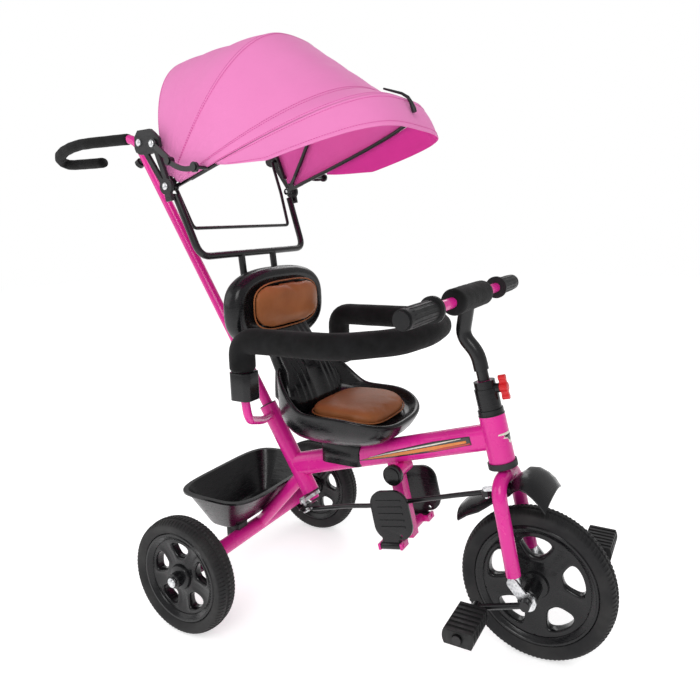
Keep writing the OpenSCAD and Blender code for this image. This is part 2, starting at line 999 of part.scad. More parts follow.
module rear_rim(side) {
    color(black) place()
        wheel_core(0, side * rear_track, rear_wheel_r, rear_wheel_r - 22, 66, 13, 25, axle_r + fit_gap);
}

module rear_tyre_r() {
    rear_tyre(-1);
}

module rear_tyre_l() {
    rear_tyre(1);
}

module rear_rim_r() {
    rear_rim(-1);
}

module rear_rim_l() {
    rear_rim(1);
}

// ---------- push pole ----------

module push_pole() {
    straight_end = pole_corner - pole_bend - 4;
    top = pole_point(pole_corner);
    upper = round_path([pole_point(straight_end - 6), top, [handle_turn, 0, handle_z]], pole_bend, 10);
    color(pink) place() {
        pole_frame()
            translate([0, 0, pole_bottom])
                cylinder(r = pole_r, h = straight_end - pole_bottom);
        tube_path(upper, pole_r - 0.4, 24);
    }
}

// Foam handle: a straight sleeve, then a hook that drops to the left
module handle_foam() {
    hook = [
        [handle_turn, 0, handle_z], [-430, 1, 852.5], [-470, 6, 849], [-505, 14, 844], [-532, 23, 838],
        [-550, 34, 831], [-557, 45, 825], [-550, 53, 820.5], [-532, 55, 819], [-500, 55, 819], [-441, 54, 819]
    ];
    body = [for (i = [0:len(hook) - 2], t = [0, 0.5]) lerp(hook[i], hook[i + 1], t)];
    tip = [for (a = [0:22.5:67.5]) hook[10] + [foam_r * sin(a), 0, 0]];
    color(black) place() {
        difference() {
            rod([handle_start, 0, handle_z], [handle_turn, 0, handle_z], foam_r);
            rod([handle_start + 5, 0, handle_z], [handle_turn, 0, handle_z], pole_r);
        }
        tube_path(concat(body, tip),
            concat([for (p = body) foam_r], [for (a = [0:22.5:67.5]) foam_r * cos(a)]), 24);
    }
}

module pole_arm() {
    color(steel) place() pole_frame() difference() {
        union() {
            translate([0, 0, arm_s])
                cylinder(r = 14, h = 6);
            translate([-7, -arm_len, arm_s])
                cube([14, arm_len, 6]);
            translate([0, -arm_len, arm_s])
                cylinder(r = 7, h = 6);
            translate([0, -arm_len, arm_s - 15])
                cylinder(r = 2.5, h = 25);
            translate([0, -arm_len, arm_s + 6])
                cylinder(r = 5.5, h = 4, $fn = 6);
            translate([0, -arm_len, arm_s - 17])
                cylinder(r = 8.5, h = 2.5);
        }
        translate([0, 0, arm_s - 1])
            cylinder(r = pole_r, h = 8);
    }
}

module pole_knob() {
    at = 640;
    color(black) place() pole_frame() difference() {
        translate([0, 0, at])
            rotate([0, -90, 0])
                union() {
                    cylinder(r = 6, h = 16);
                    translate([0, 0, 14])
                        cylinder(r = 9, h = 9);
                }
        translate([0, 0, at - 20])
            cylinder(r = pole_r, h = 40);
    }
}

// Rod from the pole arm to the crown lug, with a slotted rear eye
module link_rod() {
    rear = pole_point(arm_s - 8) + [0, -arm_len, 0];
    start = rear + [16, 0, -1];
    run = round_path([start, [230, -27, 194], [274, -27, 203], [430, -26.5, 253], lug_at - [8, 0, 1]], 18);
    color(black) place() {
        tube_path(run, link_r, 14);
        translate(rear)
            rotate([0, -pole_lean, 0])
                translate([0, 0, -1.5])
                    linear_extrude(3)
                        difference() {
                            bar2d([-5, 0], [16, 0], 21);
                            bar2d([-5, 0], [4, 0], 12);
                        }
        translate(lug_at)
            rotate([0, -steer_lean, 0])
                translate([0, 0, -4])
                    difference() {
                        cylinder(r = 8.5, h = 8);
                        translate([0, 0, -1])
                            cylinder(r = link_pin_r + fit_gap, h = 10);
                    }
    }
}

// ---------- safety bar ----------

module safety_bar() {
    x = bar_post[0];
    y = bar_post[1];
    side = [[x, -y, socket_hi + 1.5], [x, -y, bar_level], [286, -y, 502], [360, -80, 504]];
    far_side = [for (i = [3:-1:0]) [side[i][0], -side[i][1], side[i][2]]];
    color(black) place()
        tube_path(round_path(concat(side, [[375, 0, 505]], far_side), 28, 7), bar_foam_r, 24);
}

module bar_ends() {
    color(pink) place() both_sides()
        translate([bar_post[0], -bar_post[1], socket_lo + 10])
            cylinder(r = bar_tube_r, h = socket_hi - socket_lo - 8.5);
}

// ---------- footrest ----------

module footplate() {
    y0 = -foot_at[1] - foot_t / 2;
    color(black) place() foot_frame() difference() {
        union() {
            xz_plate(y0, foot_t)
                difference() {
                    union() {
                        bar2d([-8, 28], [14, 28], 48);
                        bar2d([-8, -6], [14, -6], 48);
                        translate([-32, -6])
                            square([70, 34]);
                        translate([-22, -36])
                            square([30, 24]);
                    }
                    translate([14.4, -24])
                        circle(r = 3);
                }
            for (i = [0:4])
                translate([-20, y0 - 1.2, -10 + 11 * i])
                    cube([46, 1.2, 3]);
            translate([-26, -foot_at[1], foot_pin_w])
                rotate([0, 90, 0])
                    cylinder(r = 6.5, h = 36);
        }
        translate([-40, -foot_at[1], foot_pin_w])
            rotate([0, 90, 0])
                cylinder(r = foot_pin_r + fit_gap, h = 80);
    }
}

module footplate_r() {
    footplate();
}

module footplate_l() {
    mirror([0, 1, 0])
        footplate();
}

module footrest_knob() {
    color(black) place() difference() {
        union() {
            y_rod(foot_knob_at[0], foot_knob_at[2], 10, -30, -20);
            y_rod(foot_knob_at[0], foot_knob_at[2], 17, -36, -28);
            y_rod(foot_knob_at[0], foot_knob_at[2], 13, -38.5, -36);
        }
        y_rod(foot_knob_at[0], foot_knob_at[2], 4 + fit_gap, -26, -18);
    }
}

// ---------- hood, moving pieces ----------

// Flat eye that joins a bow to the pivot pin
module bow_eye(phi, layer) {
    tip = bow_point(phi, bow_start + 5, 0);
    color(black) both_sides()
        xz_plate(-layer - eye_t, eye_t)
            difference() {
                union() {
                    bar2d([hood_x, hood_z], [tip[0], tip[2]], 6);
                    translate([hood_x, hood_z])
                        circle(r = 6.5);
                }
                translate([hood_x, hood_z])
                    circle(r = pin_r + fit_gap);
            }
}

module mid_bow() {
    color(black) place() {
        bow_tube(mid_phi, mid_bow_r, bow_half_w, mid_n, bow_start);
        bow_eye(mid_phi, mid_layer);
    }
}

module front_bow() {
    color(black) place() {
        bow_tube(front_phi, front_bow_r, front_half_w, front_n, bow_start);
        bow_eye(front_phi, front_layer);
        both_sides()
            y_rod(link_b[0], link_b[1], pin_r, -front_lever_y + 0.8, -front_half_w + 1.3);
    }
}

// Free edge of the visor, in its own lower plane
visor_phi = 14.8;
visor_n = 4.1;
function visor_edge(r, w, k) = let (t0 = asin(pow(132 / r, visor_n / 2)))
    [for (i = [0:k]) let (t = lerp(t0, 180 - t0, i / k), h = r * pow(sin(t), 2 / visor_n))
        [hood_x + h * cos(visor_phi), -w * sign(cos(t)) * pow(abs(cos(t)), 2 / visor_n),
            722 + h * sin(visor_phi)]];

module visor() {
    k = 40;
    ahead = [0.35, 0, -0.7];
    bow_out = [for (p = bow_curve(front_phi, hem_r, hem_w, front_n, 96, k)) p + ahead];
    bow_in = [for (p = bow_curve(front_phi, hem_r - 3.5, hem_w - cloth_t, front_n, 96, k)) p + ahead];
    edge_out = visor_edge(385, 156.7, k);
    edge_in = visor_edge(382, 156.7 - cloth_t, k);
    mid_out = [for (i = [0:k]) lerp(edge_out[i], bow_out[i], 0.5) + [1.5, 0, 1.2]];
    mid_in = [for (i = [0:k]) lerp(edge_in[i], bow_in[i], 0.5) + [1.5, 0, 1.2]];
    color(cloth_pink) place()
        skin([edge_out, mid_out, bow_out], [edge_in, mid_in, bow_in]);
}

// Hook strap that holds the visor at its front
module visor_clip() {
    color(black) place()
        tube_path([
            [304, -6, 887], [322, -8, 881], [337, -9, 876], [348, -10, 869],
            [354, -11, 860], [358, -12, 851], [359.5, -12, 846]
        ], [1.6, 2, 2.2, 2.6, 3.2, 4.2, 3.8], 12);
}

module rear_lever() {
    color(black) place()
        xz_plate(-rear_lever_y - lever_t, lever_t)
            difference() {
                union() {
                    bar2d(link_a, link_e, 9);
                    translate(link_a)
                        circle(r = 8);
                    translate(link_e)
                        circle(r = 7);
                }
                translate(link_a)
                    circle(r = pin_r + fit_gap);
                translate(link_e)
                    circle(r = pin_r);
            }
    color(steel) place()
        y_rod(link_e[0], link_e[1], pin_r, -front_lever_y - lever_t - 0.2, -rear_lever_y - 0.2);
    color(steel) place()
        y_rod(link_e[0], link_e[1], 5.5, -front_lever_y - lever_t - 2, -front_lever_y - lever_t - 0.2);
}

module front_lever() {
    sag = [40, 762];
    half_w = 4;
    line = [for (i = [0:10]) let (t = i / 10) lerp(lerp(link_e, sag, t), lerp(sag, link_b, t), t)];
    across = [for (t = tangents(line)) half_w * [-t[1], t[0]]];
    color(black) place()
        xz_plate(-front_lever_y - lever_t, lever_t)
            difference() {
                union() {
                    polygon(concat([for (i = [0:10]) line[i] + across[i]],
                        [for (i = [10:-1:0]) line[i] - across[i]]));
                    translate(link_e)
                        circle(r = 7);
                    translate(link_b)
                        circle(r = 8);
                }
                translate(link_e)
                    circle(r = pin_r + fit_gap);
            }
    color(steel) place()
        y_rod(link_b[0], link_b[1], 5.5, -front_lever_y - lever_t - 1.8, -front_lever_y - lever_t);
}

module rear_lever_r() {
    rear_lever();
}

module rear_lever_l() {
    mirror([0, 1, 0])
        rear_lever();
}

module front_lever_r() {
    front_lever();
}

module front_lever_l() {
    mirror([0, 1, 0])
        front_lever();
}

main_tube();
bearing_bushes();
pole_sleeve();
rear_stay();
axle_beam();
rear_axle();
bar_support();
bar_sockets();
footrest_bracket();
seat_pan();
seat_back();
seat_cushion();
back_cushion();
basket();
basket_saddles();
hood_frame();
hood_mounts();
hood_rod();
rear_bow();
hood_bracket_r();
hood_bracket_l();
rivets();
canopy();
fork();
dropouts();
fender();
collar();
steer_lug();
clamp_knob();
stem();
crossbar();
bar_pad();
grips();
front_tyre();
front_rim();
crank();
pedal_r();
pedal_l();
rear_tyre_r();
rear_rim_r();
rear_tyre_l();
rear_rim_l();
push_pole();
handle_foam();
pole_arm();
pole_knob();
link_rod();
safety_bar();
bar_ends();
footplate_r();
footplate_l();
footrest_knob();
mid_bow();
front_bow();
visor();
visor_clip();
rear_lever_r();
rear_lever_l();
front_lever_r();
front_lever_l();
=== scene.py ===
import json
import math

import bmesh
import bpy
from mathutils import Matrix, Vector, noise


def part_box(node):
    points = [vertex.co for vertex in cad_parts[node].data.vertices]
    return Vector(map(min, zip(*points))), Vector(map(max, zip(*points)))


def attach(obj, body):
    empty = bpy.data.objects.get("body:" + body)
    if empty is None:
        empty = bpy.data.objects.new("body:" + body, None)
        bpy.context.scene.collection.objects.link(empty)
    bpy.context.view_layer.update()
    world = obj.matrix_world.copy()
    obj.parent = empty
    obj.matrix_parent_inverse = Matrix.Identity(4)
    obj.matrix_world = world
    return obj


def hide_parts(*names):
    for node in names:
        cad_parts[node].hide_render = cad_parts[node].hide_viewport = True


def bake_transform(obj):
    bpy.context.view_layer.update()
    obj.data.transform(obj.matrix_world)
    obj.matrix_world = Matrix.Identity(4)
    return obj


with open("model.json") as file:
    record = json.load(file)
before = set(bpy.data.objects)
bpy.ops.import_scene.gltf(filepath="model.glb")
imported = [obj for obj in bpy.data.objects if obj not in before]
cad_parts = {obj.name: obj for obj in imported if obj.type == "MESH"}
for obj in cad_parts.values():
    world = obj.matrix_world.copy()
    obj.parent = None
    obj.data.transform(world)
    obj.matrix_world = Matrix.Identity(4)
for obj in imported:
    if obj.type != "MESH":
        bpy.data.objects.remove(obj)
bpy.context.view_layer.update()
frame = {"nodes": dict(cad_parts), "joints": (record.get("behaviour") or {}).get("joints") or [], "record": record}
joints = {j["name"]: j for j in frame["joints"]}
scene = bpy.context.scene
scene.view_settings.view_transform = "Standard"

axle_x = joints["rear_wheel_r_spin"]["pos_m"][0]
hood = Vector(joints["hood_fold"]["pos_m"])
MM = 0.001


def at(x, y, z):
    """Point given in millimetres from the rear axle's middle on the ground."""
    return Vector((axle_x + x * MM, y * MM, z * MM))


# ---------- camera, light and floor ----------

camera = bpy.data.objects.new("camera", bpy.data.cameras.new("camera"))
scene.collection.objects.link(camera)
scene.camera = camera
camera.data.lens = 31.07
camera.data.sensor_width = 36
camera.data.shift_x = -0.091
camera.data.shift_y = -0.070
camera.location = (0.7215, -0.862, 0.690)
azimuth, elevation = math.radians(26.4), math.radians(8.0)
back = Vector((math.sin(azimuth) * math.cos(elevation), -math.cos(azimuth) * math.cos(elevation),
               math.sin(elevation)))
camera.rotation_mode = "QUATERNION"
camera.rotation_quaternion = (Matrix.Rotation(math.radians(-1.1), 4, back)
                              @ (-back).to_track_quat("-Z", "Y").to_matrix().to_4x4()).to_quaternion()

world = bpy.data.worlds.new("pale_room")
scene.world = world
world.use_nodes = True
sky = world.node_tree.nodes["Background"]
sky.inputs["Color"].default_value = (1.0, 1.0, 1.0, 1)
seen = world.node_tree.nodes.new("ShaderNodeMapRange")
seen.inputs["To Min"].default_value = 0.5
seen.inputs["To Max"].default_value = 1.0
world.node_tree.links.new(world.node_tree.nodes.new("ShaderNodeLightPath").outputs["Is Camera Ray"],
                          seen.inputs["Value"])
world.node_tree.links.new(seen.outputs["Result"], sky.inputs["Strength"])


def softbox(name, place, aim, size, power):
    lamp = bpy.data.lights.new(name, "AREA")
    lamp.shape = "RECTANGLE"
    lamp.size, lamp.size_y = size
    lamp.energy = power
    holder = bpy.data.objects.new(name, lamp)
    scene.collection.objects.link(holder)
    holder.location = place
    holder.rotation_mode = "QUATERNION"
    holder.rotation_quaternion = (Vector(aim) - Vector(place)).to_track_quat("-Z", "Y")


softbox("key_light", (1.2, -2.0, 2.4), (0, 0, 0.5), (1.6, 1.6), 34)
softbox("fill_light", (-2.2, -1.6, 1.4), (0, 0, 0.5), (1.8, 1.8), 12)
softbox("rim_light", (-0.8, 2.2, 2.0), (0, 0, 0.6), (1.8, 1.2), 16)


# ---------- materials ----------

class Finish:
    """A node material with short calls for textures, mixes and bumps."""

    def __init__(self, name, colour, rough, **values):
        self.mat = bpy.data.materials.new(name)
        self.mat.use_nodes = True
        self.tree = self.mat.node_tree
        self.shader = self.tree.nodes["Principled BSDF"]
        self.shader.inputs["Base Color"].default_value = (*colour, 1)
        self.shader.inputs["Roughness"].default_value = rough
        for key, value in values.items():
            self.shader.inputs[key.replace("_", " ")].default_value = value
        self.coord = self.tree.nodes.new("ShaderNodeTexCoord").outputs["Object"]
        self.normal = None

    def add(self, kind, inputs=None, **props):
        node = self.tree.nodes.new("ShaderNode" + kind)
        for key, value in props.items():
            setattr(node, key, value)
        for key, value in (inputs or {}).items():
            if hasattr(value, "is_output"):
                self.tree.links.new(value, node.inputs[key])
            else:
                node.inputs[key].default_value = value
        return node

    def stretch(self, scale, coord=None):
        return self.add("Mapping", {"Vector": coord or self.coord, "Scale": scale}).outputs["Vector"]

    def grain(self, scale, detail=3, coord=None):
        inputs = {"Vector": coord or self.coord, "Scale": scale, "Detail": detail}
        return self.add("TexNoise", inputs).outputs["Fac"]

    def cells(self, scale, coord=None, feature="F1"):
        return self.add("TexVoronoi", {"Vector": coord or self.coord, "Scale": scale},
                        feature=feature).outputs["Distance"]

    def ramp(self, fac, low, high, a, b):
        node = self.add("ValToRGB", {"Fac": fac})
        node.color_ramp.elements[0].position, node.color_ramp.elements[1].position = low, high
        node.color_ramp.elements[0].color, node.color_ramp.elements[1].color = (*a, 1), (*b, 1)
        return node.outputs["Color"]

    def level(self, fac, low, high, a, b):
        return self.add("MapRange", {"Value": fac, "From Min": low, "From Max": high, "To Min": a,
                                     "To Max": b}).outputs["Result"]

    def paint(self, colour):
        self.tree.links.new(colour, self.shader.inputs["Base Color"])

    def rough(self, value):
        self.tree.links.new(value, self.shader.inputs["Roughness"])

    def bump(self, height, strength, distance):
        inputs = {"Height": height, "Strength": strength, "Distance": distance}
        if self.normal:
            inputs["Normal"] = self.normal
        self.normal = self.add("Bump", inputs).outputs["Normal"]
        self.tree.links.new(self.normal, self.shader.inputs["Normal"])


def enamel(name, colour, dark, rough=0.22):
    """Sprayed enamel: faint orange peel, cloudy gloss and thin dust."""
    f = Finish(name, colour, rough, Coat_Weight=0.25, Coat_Roughness=0.12, Specular_IOR_Level=0.35)
    f.paint(f.ramp(f.grain(9, 5), 0.3, 0.75, dark, colour))
    f.rough(f.level(f.grain(46, 4), 0.3, 0.7, rough - 0.06, rough + 0.12))
    f.bump(f.grain(520, 2), 0.05, 0.0006)
    return f.mat


def moulded(name, colour, pale, rough, peel):
    """Moulded plastic with rub marks and a fine skin."""
    f = Finish(name, colour, rough, Specular_IOR_Level=0.35)
    f.paint(f.ramp(f.grain(24, 6), 0.42, 0.8, colour, pale))
    scuff = f.grain(60, 5, f.stretch((1, 1, 6)))
    f.rough(f.level(scuff, 0.35, 0.7, rough - 0.05, rough + 0.14))
    f.bump(f.grain(900, 2), peel, 0.0005)
    return f.mat


def foam_skin():
    f = Finish("foam_skin", (0.006, 0.006, 0.006), 0.82, Sheen_Weight=0.06, Sheen_Roughness=0.5,
               Specular_IOR_Level=0.15)
    f.paint(f.ramp(f.grain(30, 6), 0.35, 0.75, (0.004, 0.004, 0.004), (0.010, 0.010, 0.011)))
    f.rough(f.level(f.grain(80, 3), 0.3, 0.7, 0.72, 0.92))
    f.bump(f.cells(950), 0.35, 0.0006)
    f.bump(f.grain(45, 3), 0.25, 0.002)
    return f.mat


def rubber(name, colour, dust, rough):
    f = Finish(name, colour, rough, Specular_IOR_Level=0.25)
    f.paint(f.ramp(f.grain(17, 7), 0.4, 0.85, colour, dust))
    f.rough(f.level(f.grain(70, 4), 0.3, 0.7, rough - 0.1, rough + 0.1))
    f.bump(f.grain(700, 3), 0.18, 0.0006)
    return f.mat


def galvanised():
    f = Finish("galvanised_steel", (0.62, 0.63, 0.65), 0.3, Metallic=1.0)
    f.paint(f.ramp(f.cells(260), 0.1, 0.7, (0.45, 0.46, 0.48), (0.78, 0.79, 0.8)))
    f.rough(f.level(f.grain(130, 5), 0.3, 0.7, 0.2, 0.45))
    f.bump(f.grain(400, 4), 0.12, 0.0005)
    return f.mat


def woven(name, colour, deep):
    """Plain-weave polyester: threads follow the sheet's own UV, laid out in metres."""
    f = Finish(name, colour, 0.75, Sheen_Weight=0.12, Sheen_Roughness=0.4, Specular_IOR_Level=0.2)
    uv = f.add("UVMap", uv_map="weave").outputs["UV"]
    warp = f.add("TexWave", {"Vector": uv, "Scale": 420}, bands_direction="X").outputs["Fac"]
    weft = f.add("TexWave", {"Vector": uv, "Scale": 420}, bands_direction="Y").outputs["Fac"]
    cross = f.add("Math", {0: warp, 1: weft}, operation="MULTIPLY").outputs["Value"]
    slub = f.grain(1, 4, f.add("Mapping", {"Vector": uv, "Scale": (40, 260, 1)}).outputs["Vector"])
    cloud = f.ramp(f.grain(6, 5), 0.25, 0.8, deep, colour)
    # Painted shade: the weave is darker where the threads dip between their crossings.
    thread = f.ramp(cross, 0.0, 0.6, tuple(c * 0.86 for c in colour), colour)
    tint = f.tree.nodes.new("ShaderNodeMixRGB")
    tint.inputs["Fac"].default_value = 0.45
    f.tree.links.new(cloud, tint.inputs["Color1"])
    f.tree.links.new(thread, tint.inputs["Color2"])
    f.paint(tint.outputs["Color"])
    f.rough(f.level(slub, 0.3, 0.7, 0.66, 0.86))
    f.bump(cross, 0.25, 0.0005)
    f.bump(slub, 0.12, 0.0006)
    f.bump(f.grain(14, 4), 0.6, 0.005)
    return f.mat


def leather():
    f = Finish("brown_leathercloth", (0.32, 0.11, 0.042), 0.5, Specular_IOR_Level=0.15)
    f.paint(f.ramp(f.grain(20, 6), 0.3, 0.78, (0.26, 0.088, 0.030), (0.38, 0.135, 0.050)))
    pores = f.cells(520)
    f.rough(f.level(pores, 0.0, 0.6, 0.5, 0.34))
    f.bump(pores, 0.3, 0.0007)
    f.bump(f.grain(90, 5), 0.15, 0.0015)
    return f.mat


def thread(name, colour):
    f = Finish(name, colour, 0.7)
    f.paint(f.ramp(f.grain(900, 2), 0.3, 0.7, tuple(c * 0.7 for c in colour), colour))
    f.bump(f.grain(1500, 2), 0.3, 0.0003)
    return f.mat


def ink(name, colour):
    f = Finish(name, colour, 0.25, Coat_Weight=0.6, Coat_Roughness=0.1)
    f.paint(f.ramp(f.grain(140, 4), 0.3, 0.75, tuple(c * 0.82 for c in colour), colour))
    f.bump(f.grain(500, 2), 0.04, 0.0004)
    return f.mat


HOT_PINK = (0.78, 0.020, 0.32)
PINK_ENAMEL = enamel("pink_enamel", HOT_PINK, (0.64, 0.014, 0.25))
BLACK_ENAMEL = enamel("black_enamel", (0.007, 0.007, 0.008), (0.004, 0.004, 0.005), 0.3)
GLOSS_PLASTIC = moulded("gloss_black_plastic", (0.005, 0.005, 0.006), (0.011, 0.011, 0.012), 0.2, 0.06)
MATTE_PLASTIC = moulded("matte_black_plastic", (0.014, 0.014, 0.015), (0.03, 0.03, 0.032), 0.48, 0.16)
RED_PLASTIC = moulded("red_plastic", (0.62, 0.015, 0.02), (0.7, 0.03, 0.04), 0.25, 0.06)
FOAM = foam_skin()
TYRE = rubber("tyre_rubber", (0.012, 0.012, 0.013), (0.035, 0.034, 0.033), 0.62)
SOFT_RUBBER = rubber("moulded_rubber", (0.012, 0.012, 0.013), (0.028, 0.028, 0.028), 0.5)
ZINC = galvanised()
CLOTH = woven("canopy_cloth", (0.86, 0.255, 0.56), (0.80, 0.21, 0.50))
# The insides of the visor and the hood are the same cloth in a deeper magenta: painted shade and painted light
# shining through the cloth.
SHADED_INSIDE = woven("canopy_inside_painted_shade", (0.86, 0.055, 0.42), (0.76, 0.04, 0.35))
PALE_SHADED_INSIDE = woven("canopy_inside_painted_shade_pale", (0.86, 0.15, 0.50), (0.80, 0.11, 0.44))
LEATHER = leather()
PINK_THREAD = thread("pink_thread", (0.72, 0.06, 0.36))
INKS = {"cream": ink("cream_ink", (0.80, 0.76, 0.66)), "orange": ink("orange_ink", (0.78, 0.22, 0.02)),
        "black": ink("black_ink", (0.015, 0.012, 0.012)), "red": ink("red_ink", (0.52, 0.03, 0.02))}

BY_SLOT = {"pink_enamel": PINK_ENAMEL, "black_enamel": BLACK_ENAMEL, "zinc_plated": ZINC,
           "canopy_cloth": CLOTH, "cushion_leather": LEATHER, "black_foam": FOAM, "tyre_rubber": TYRE,
           "soft_rubber": SOFT_RUBBER, "gloss_black_plastic": GLOSS_PLASTIC,
           "matte_black_plastic": MATTE_PLASTIC, "red_plastic": RED_PLASTIC}
SOFT_EDGED = {"bar_sockets", "footplate_r", "footplate_l", "pedal_r", "pedal_l", "hood_mounts",
              "basket_saddles", "clamp_knob", "footrest_knob"}


def crisp(thing, degrees):
    """Keeps edges sharper than the angle crisp under smooth shading."""
    crease = thing.modifiers.new("crisp_edges", "EDGE_SPLIT")
    crease.split_angle = math.radians(degrees)


for part in frame["record"]["subparts"]:
    node = frame["nodes"][part["node"]]
    node.data.materials.clear()
    node.data.materials.append(BY_SLOT[part["material_slot"]])
    if "custom_normal" in node.data.attributes:
        node.data.attributes.remove(node.data.attributes["custom_normal"])
    node.data.polygons.foreach_set("use_smooth", [True] * len(node.data.polygons))
    weld = node.modifiers.new("join_edges", "WELD")
    weld.merge_threshold = 0.00001
    if part["node"] in SOFT_EDGED:
        bevel = node.modifiers.new("soft_edges", "BEVEL")
        bevel.width = 0.0012
        bevel.segments = 2
        bevel.limit_method = "ANGLE"
        bevel.angle_limit = math.radians(40)
        bevel.harden_normals = False
    crisp(node, 34)


# ---------- mesh helpers ----------

def piece(name, mesh, body, material, smooth=True):
    thing = bpy.data.objects.new(name, mesh)
    scene.collection.objects.link(thing)
    if material is not None:
        mesh.materials.clear()
        mesh.materials.append(material)
    if smooth:
        mesh.polygons.foreach_set("use_smooth", [True] * len(mesh.polygons))
    if body:
        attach(thing, body)
    return thing


def from_rings(name, rings, closed=True, caps=True):
    """Mesh through rings of equally many points; each ring is a loop when closed."""
    shape = bmesh.new()
    rows = [[shape.verts.new(p) for p in ring] for ring in rings]
    count = len(rings[0])
    for a, b in zip(rows, rows[1:]):
        for i in range(count if closed else count - 1):
            j = (i + 1) % count
            shape.faces.new((a[i], a[j], b[j], b[i]))
    if closed and caps:
        shape.faces.new(rows[0][::-1])
        shape.faces.new(rows[-1])
    if closed:
        bmesh.ops.recalc_face_normals(shape, faces=shape.faces)
    mesh = bpy.data.meshes.new(name)
    shape.to_mesh(mesh)
    shape.free()
    return mesh


def rounded(points, reach, steps=8):
    """The points with each inner corner rounded over a distance."""
    out = [points[0]]
    for before, corner, after in zip(points, points[1:], points[2:]):
        a = corner + (before - corner).normalized() * reach
        b = corner + (after - corner).normalized() * reach
        for k in range(steps + 1):
            t = k / steps
            out.append(a.lerp(corner, t).lerp(corner.lerp(b, t), t))
    return out + [points[-1]]


def even(points, step):
    """The same path with points about a step apart."""
    out = [points[0]]
    for a, b in zip(points, points[1:]):
        n = max(1, round((b - a).length / step))
        out += [a.lerp(b, (k + 1) / n) for k in range(n)]
    return out


def sweep(points, radius, sides=36):
    """Rings round a path; radius is a function of the path's share from 0 to 1."""
    tangents = [((points[min(i + 1, len(points) - 1)] - points[max(i - 1, 0)]).normalized())
                for i in range(len(points))]
    normal = tangents[0].orthogonal().normalized()
    rings = []
    for i, (p, t) in enumerate(zip(points, tangents)):
        normal = (normal - normal.dot(t) * t).normalized()
        side = t.cross(normal)
        share = i / (len(points) - 1)
        ring = []
        for k in range(sides):
            a = 2 * math.pi * k / sides
            r = radius(share, a)
            ring.append(p + r * (math.cos(a) * normal + math.sin(a) * side))
        rings.append(ring)
    return rings


def turned(name, mid, section, steps=96):
    """Closed ring turned about the wheel's axis from (across, radius) pairs in millimetres."""
    mesh = bpy.data.meshes.new(name)
    shape = bmesh.new()
    rows = []
    for k in range(steps):
        a = 2 * math.pi * k / steps
        rows.append([shape.verts.new(mid + Vector((r * math.sin(a), y, r * math.cos(a))) * MM)
                     for y, r in section])
    for k in range(steps):
        a, b = rows[k], rows[(k + 1) % steps]
        for i in range(len(section)):
            j = (i + 1) % len(section)
            shape.faces.new((a[i], a[j], b[j], b[i]))
    bmesh.ops.recalc_face_normals(shape, faces=shape.faces)
    shape.to_mesh(mesh)
    shape.free()
    return mesh


# ---------- repeating details made by node trees ----------

def tree_inputs(name, extra):
    tree = bpy.data.node_groups.new(name, "GeometryNodeTree")
    tree.interface.new_socket("Geometry", in_out="INPUT", socket_type="NodeSocketGeometry")
    for label, kind in extra:
        tree.interface.new_socket(label, in_out="INPUT", socket_type=kind)
    tree.interface.new_socket("Geometry", in_out="OUTPUT", socket_type="NodeSocketGeometry")
    return tree, tree.nodes.new("NodeGroupInput"), tree.nodes.new("NodeGroupOutput")


def finish_tree(tree, source, instances, out):
    real = tree.nodes.new("GeometryNodeRealizeInstances")
    coat = tree.nodes.new("GeometryNodeSetMaterial")
    tree.links.new(instances, real.inputs[0])
    tree.links.new(real.outputs[0], coat.inputs["Geometry"])
    tree.links.new(source.outputs["Finish"], coat.inputs["Material"])
    tree.links.new(coat.outputs[0], out.inputs[0])


def round_array_tree():
    """Copies of the input turned evenly about the Y axis, then moved to a centre."""
    tree, source, out = tree_inputs("round_array", [("Count", "NodeSocketInt"), ("Centre", "NodeSocketVector"),
                                                    ("Finish", "NodeSocketMaterial")])
    new, link = tree.nodes.new, tree.links.new
    dots = new("GeometryNodePoints")
    link(source.outputs["Count"], dots.inputs["Count"])
    turn = new("ShaderNodeMath")
    turn.operation = "DIVIDE"
    turn.inputs[0].default_value = 2 * math.pi
    link(source.outputs["Count"], turn.inputs[1])
    angle = new("ShaderNodeMath")
    angle.operation = "MULTIPLY"
    link(new("GeometryNodeInputIndex").outputs[0], angle.inputs[0])
    link(turn.outputs[0], angle.inputs[1])
    spin = new("ShaderNodeCombineXYZ")
    link(angle.outputs[0], spin.inputs["Y"])
    copies = new("GeometryNodeInstanceOnPoints")
    link(dots.outputs[0], copies.inputs["Points"])
    link(source.outputs["Geometry"], copies.inputs["Instance"])
    link(spin.outputs[0], copies.inputs["Rotation"])
    shift = new("GeometryNodeTransform")
    link(copies.outputs[0], shift.inputs["Geometry"])
    link(source.outputs["Centre"], shift.inputs["Translation"])
    finish_tree(tree, source, shift.outputs[0], out)
    return tree


def stitch_tree():
    """Short rounded stitches laid along the input curve."""
    tree, source, out = tree_inputs("stitch_row", [
        ("Spacing", "NodeSocketFloat"), ("Length", "NodeSocketFloat"), ("Thickness", "NodeSocketFloat"),
        ("Finish", "NodeSocketMaterial")])
    new, link = tree.nodes.new, tree.links.new
    dots = new("GeometryNodeCurveToPoints")
    dots.mode = "LENGTH"
    link(source.outputs["Geometry"], dots.inputs["Curve"])
    link(source.outputs["Spacing"], dots.inputs["Length"])
    bead = new("GeometryNodeMeshIcoSphere")
    bead.inputs["Radius"].default_value = 1
    bead.inputs["Subdivisions"].default_value = 2
    size = new("ShaderNodeCombineXYZ")
    link(source.outputs["Thickness"], size.inputs["X"])
    link(source.outputs["Thickness"], size.inputs["Y"])
    link(source.outputs["Length"], size.inputs["Z"])
    copies = new("GeometryNodeInstanceOnPoints")
    link(dots.outputs["Points"], copies.inputs["Points"])
    link(bead.outputs["Mesh"], copies.inputs["Instance"])
    link(dots.outputs["Rotation"], copies.inputs["Rotation"])
    link(size.outputs[0], copies.inputs["Scale"])
    finish_tree(tree, source, copies.outputs[0], out)
    return tree


ROUND_ARRAY = round_array_tree()
STITCH_ROW = stitch_tree()


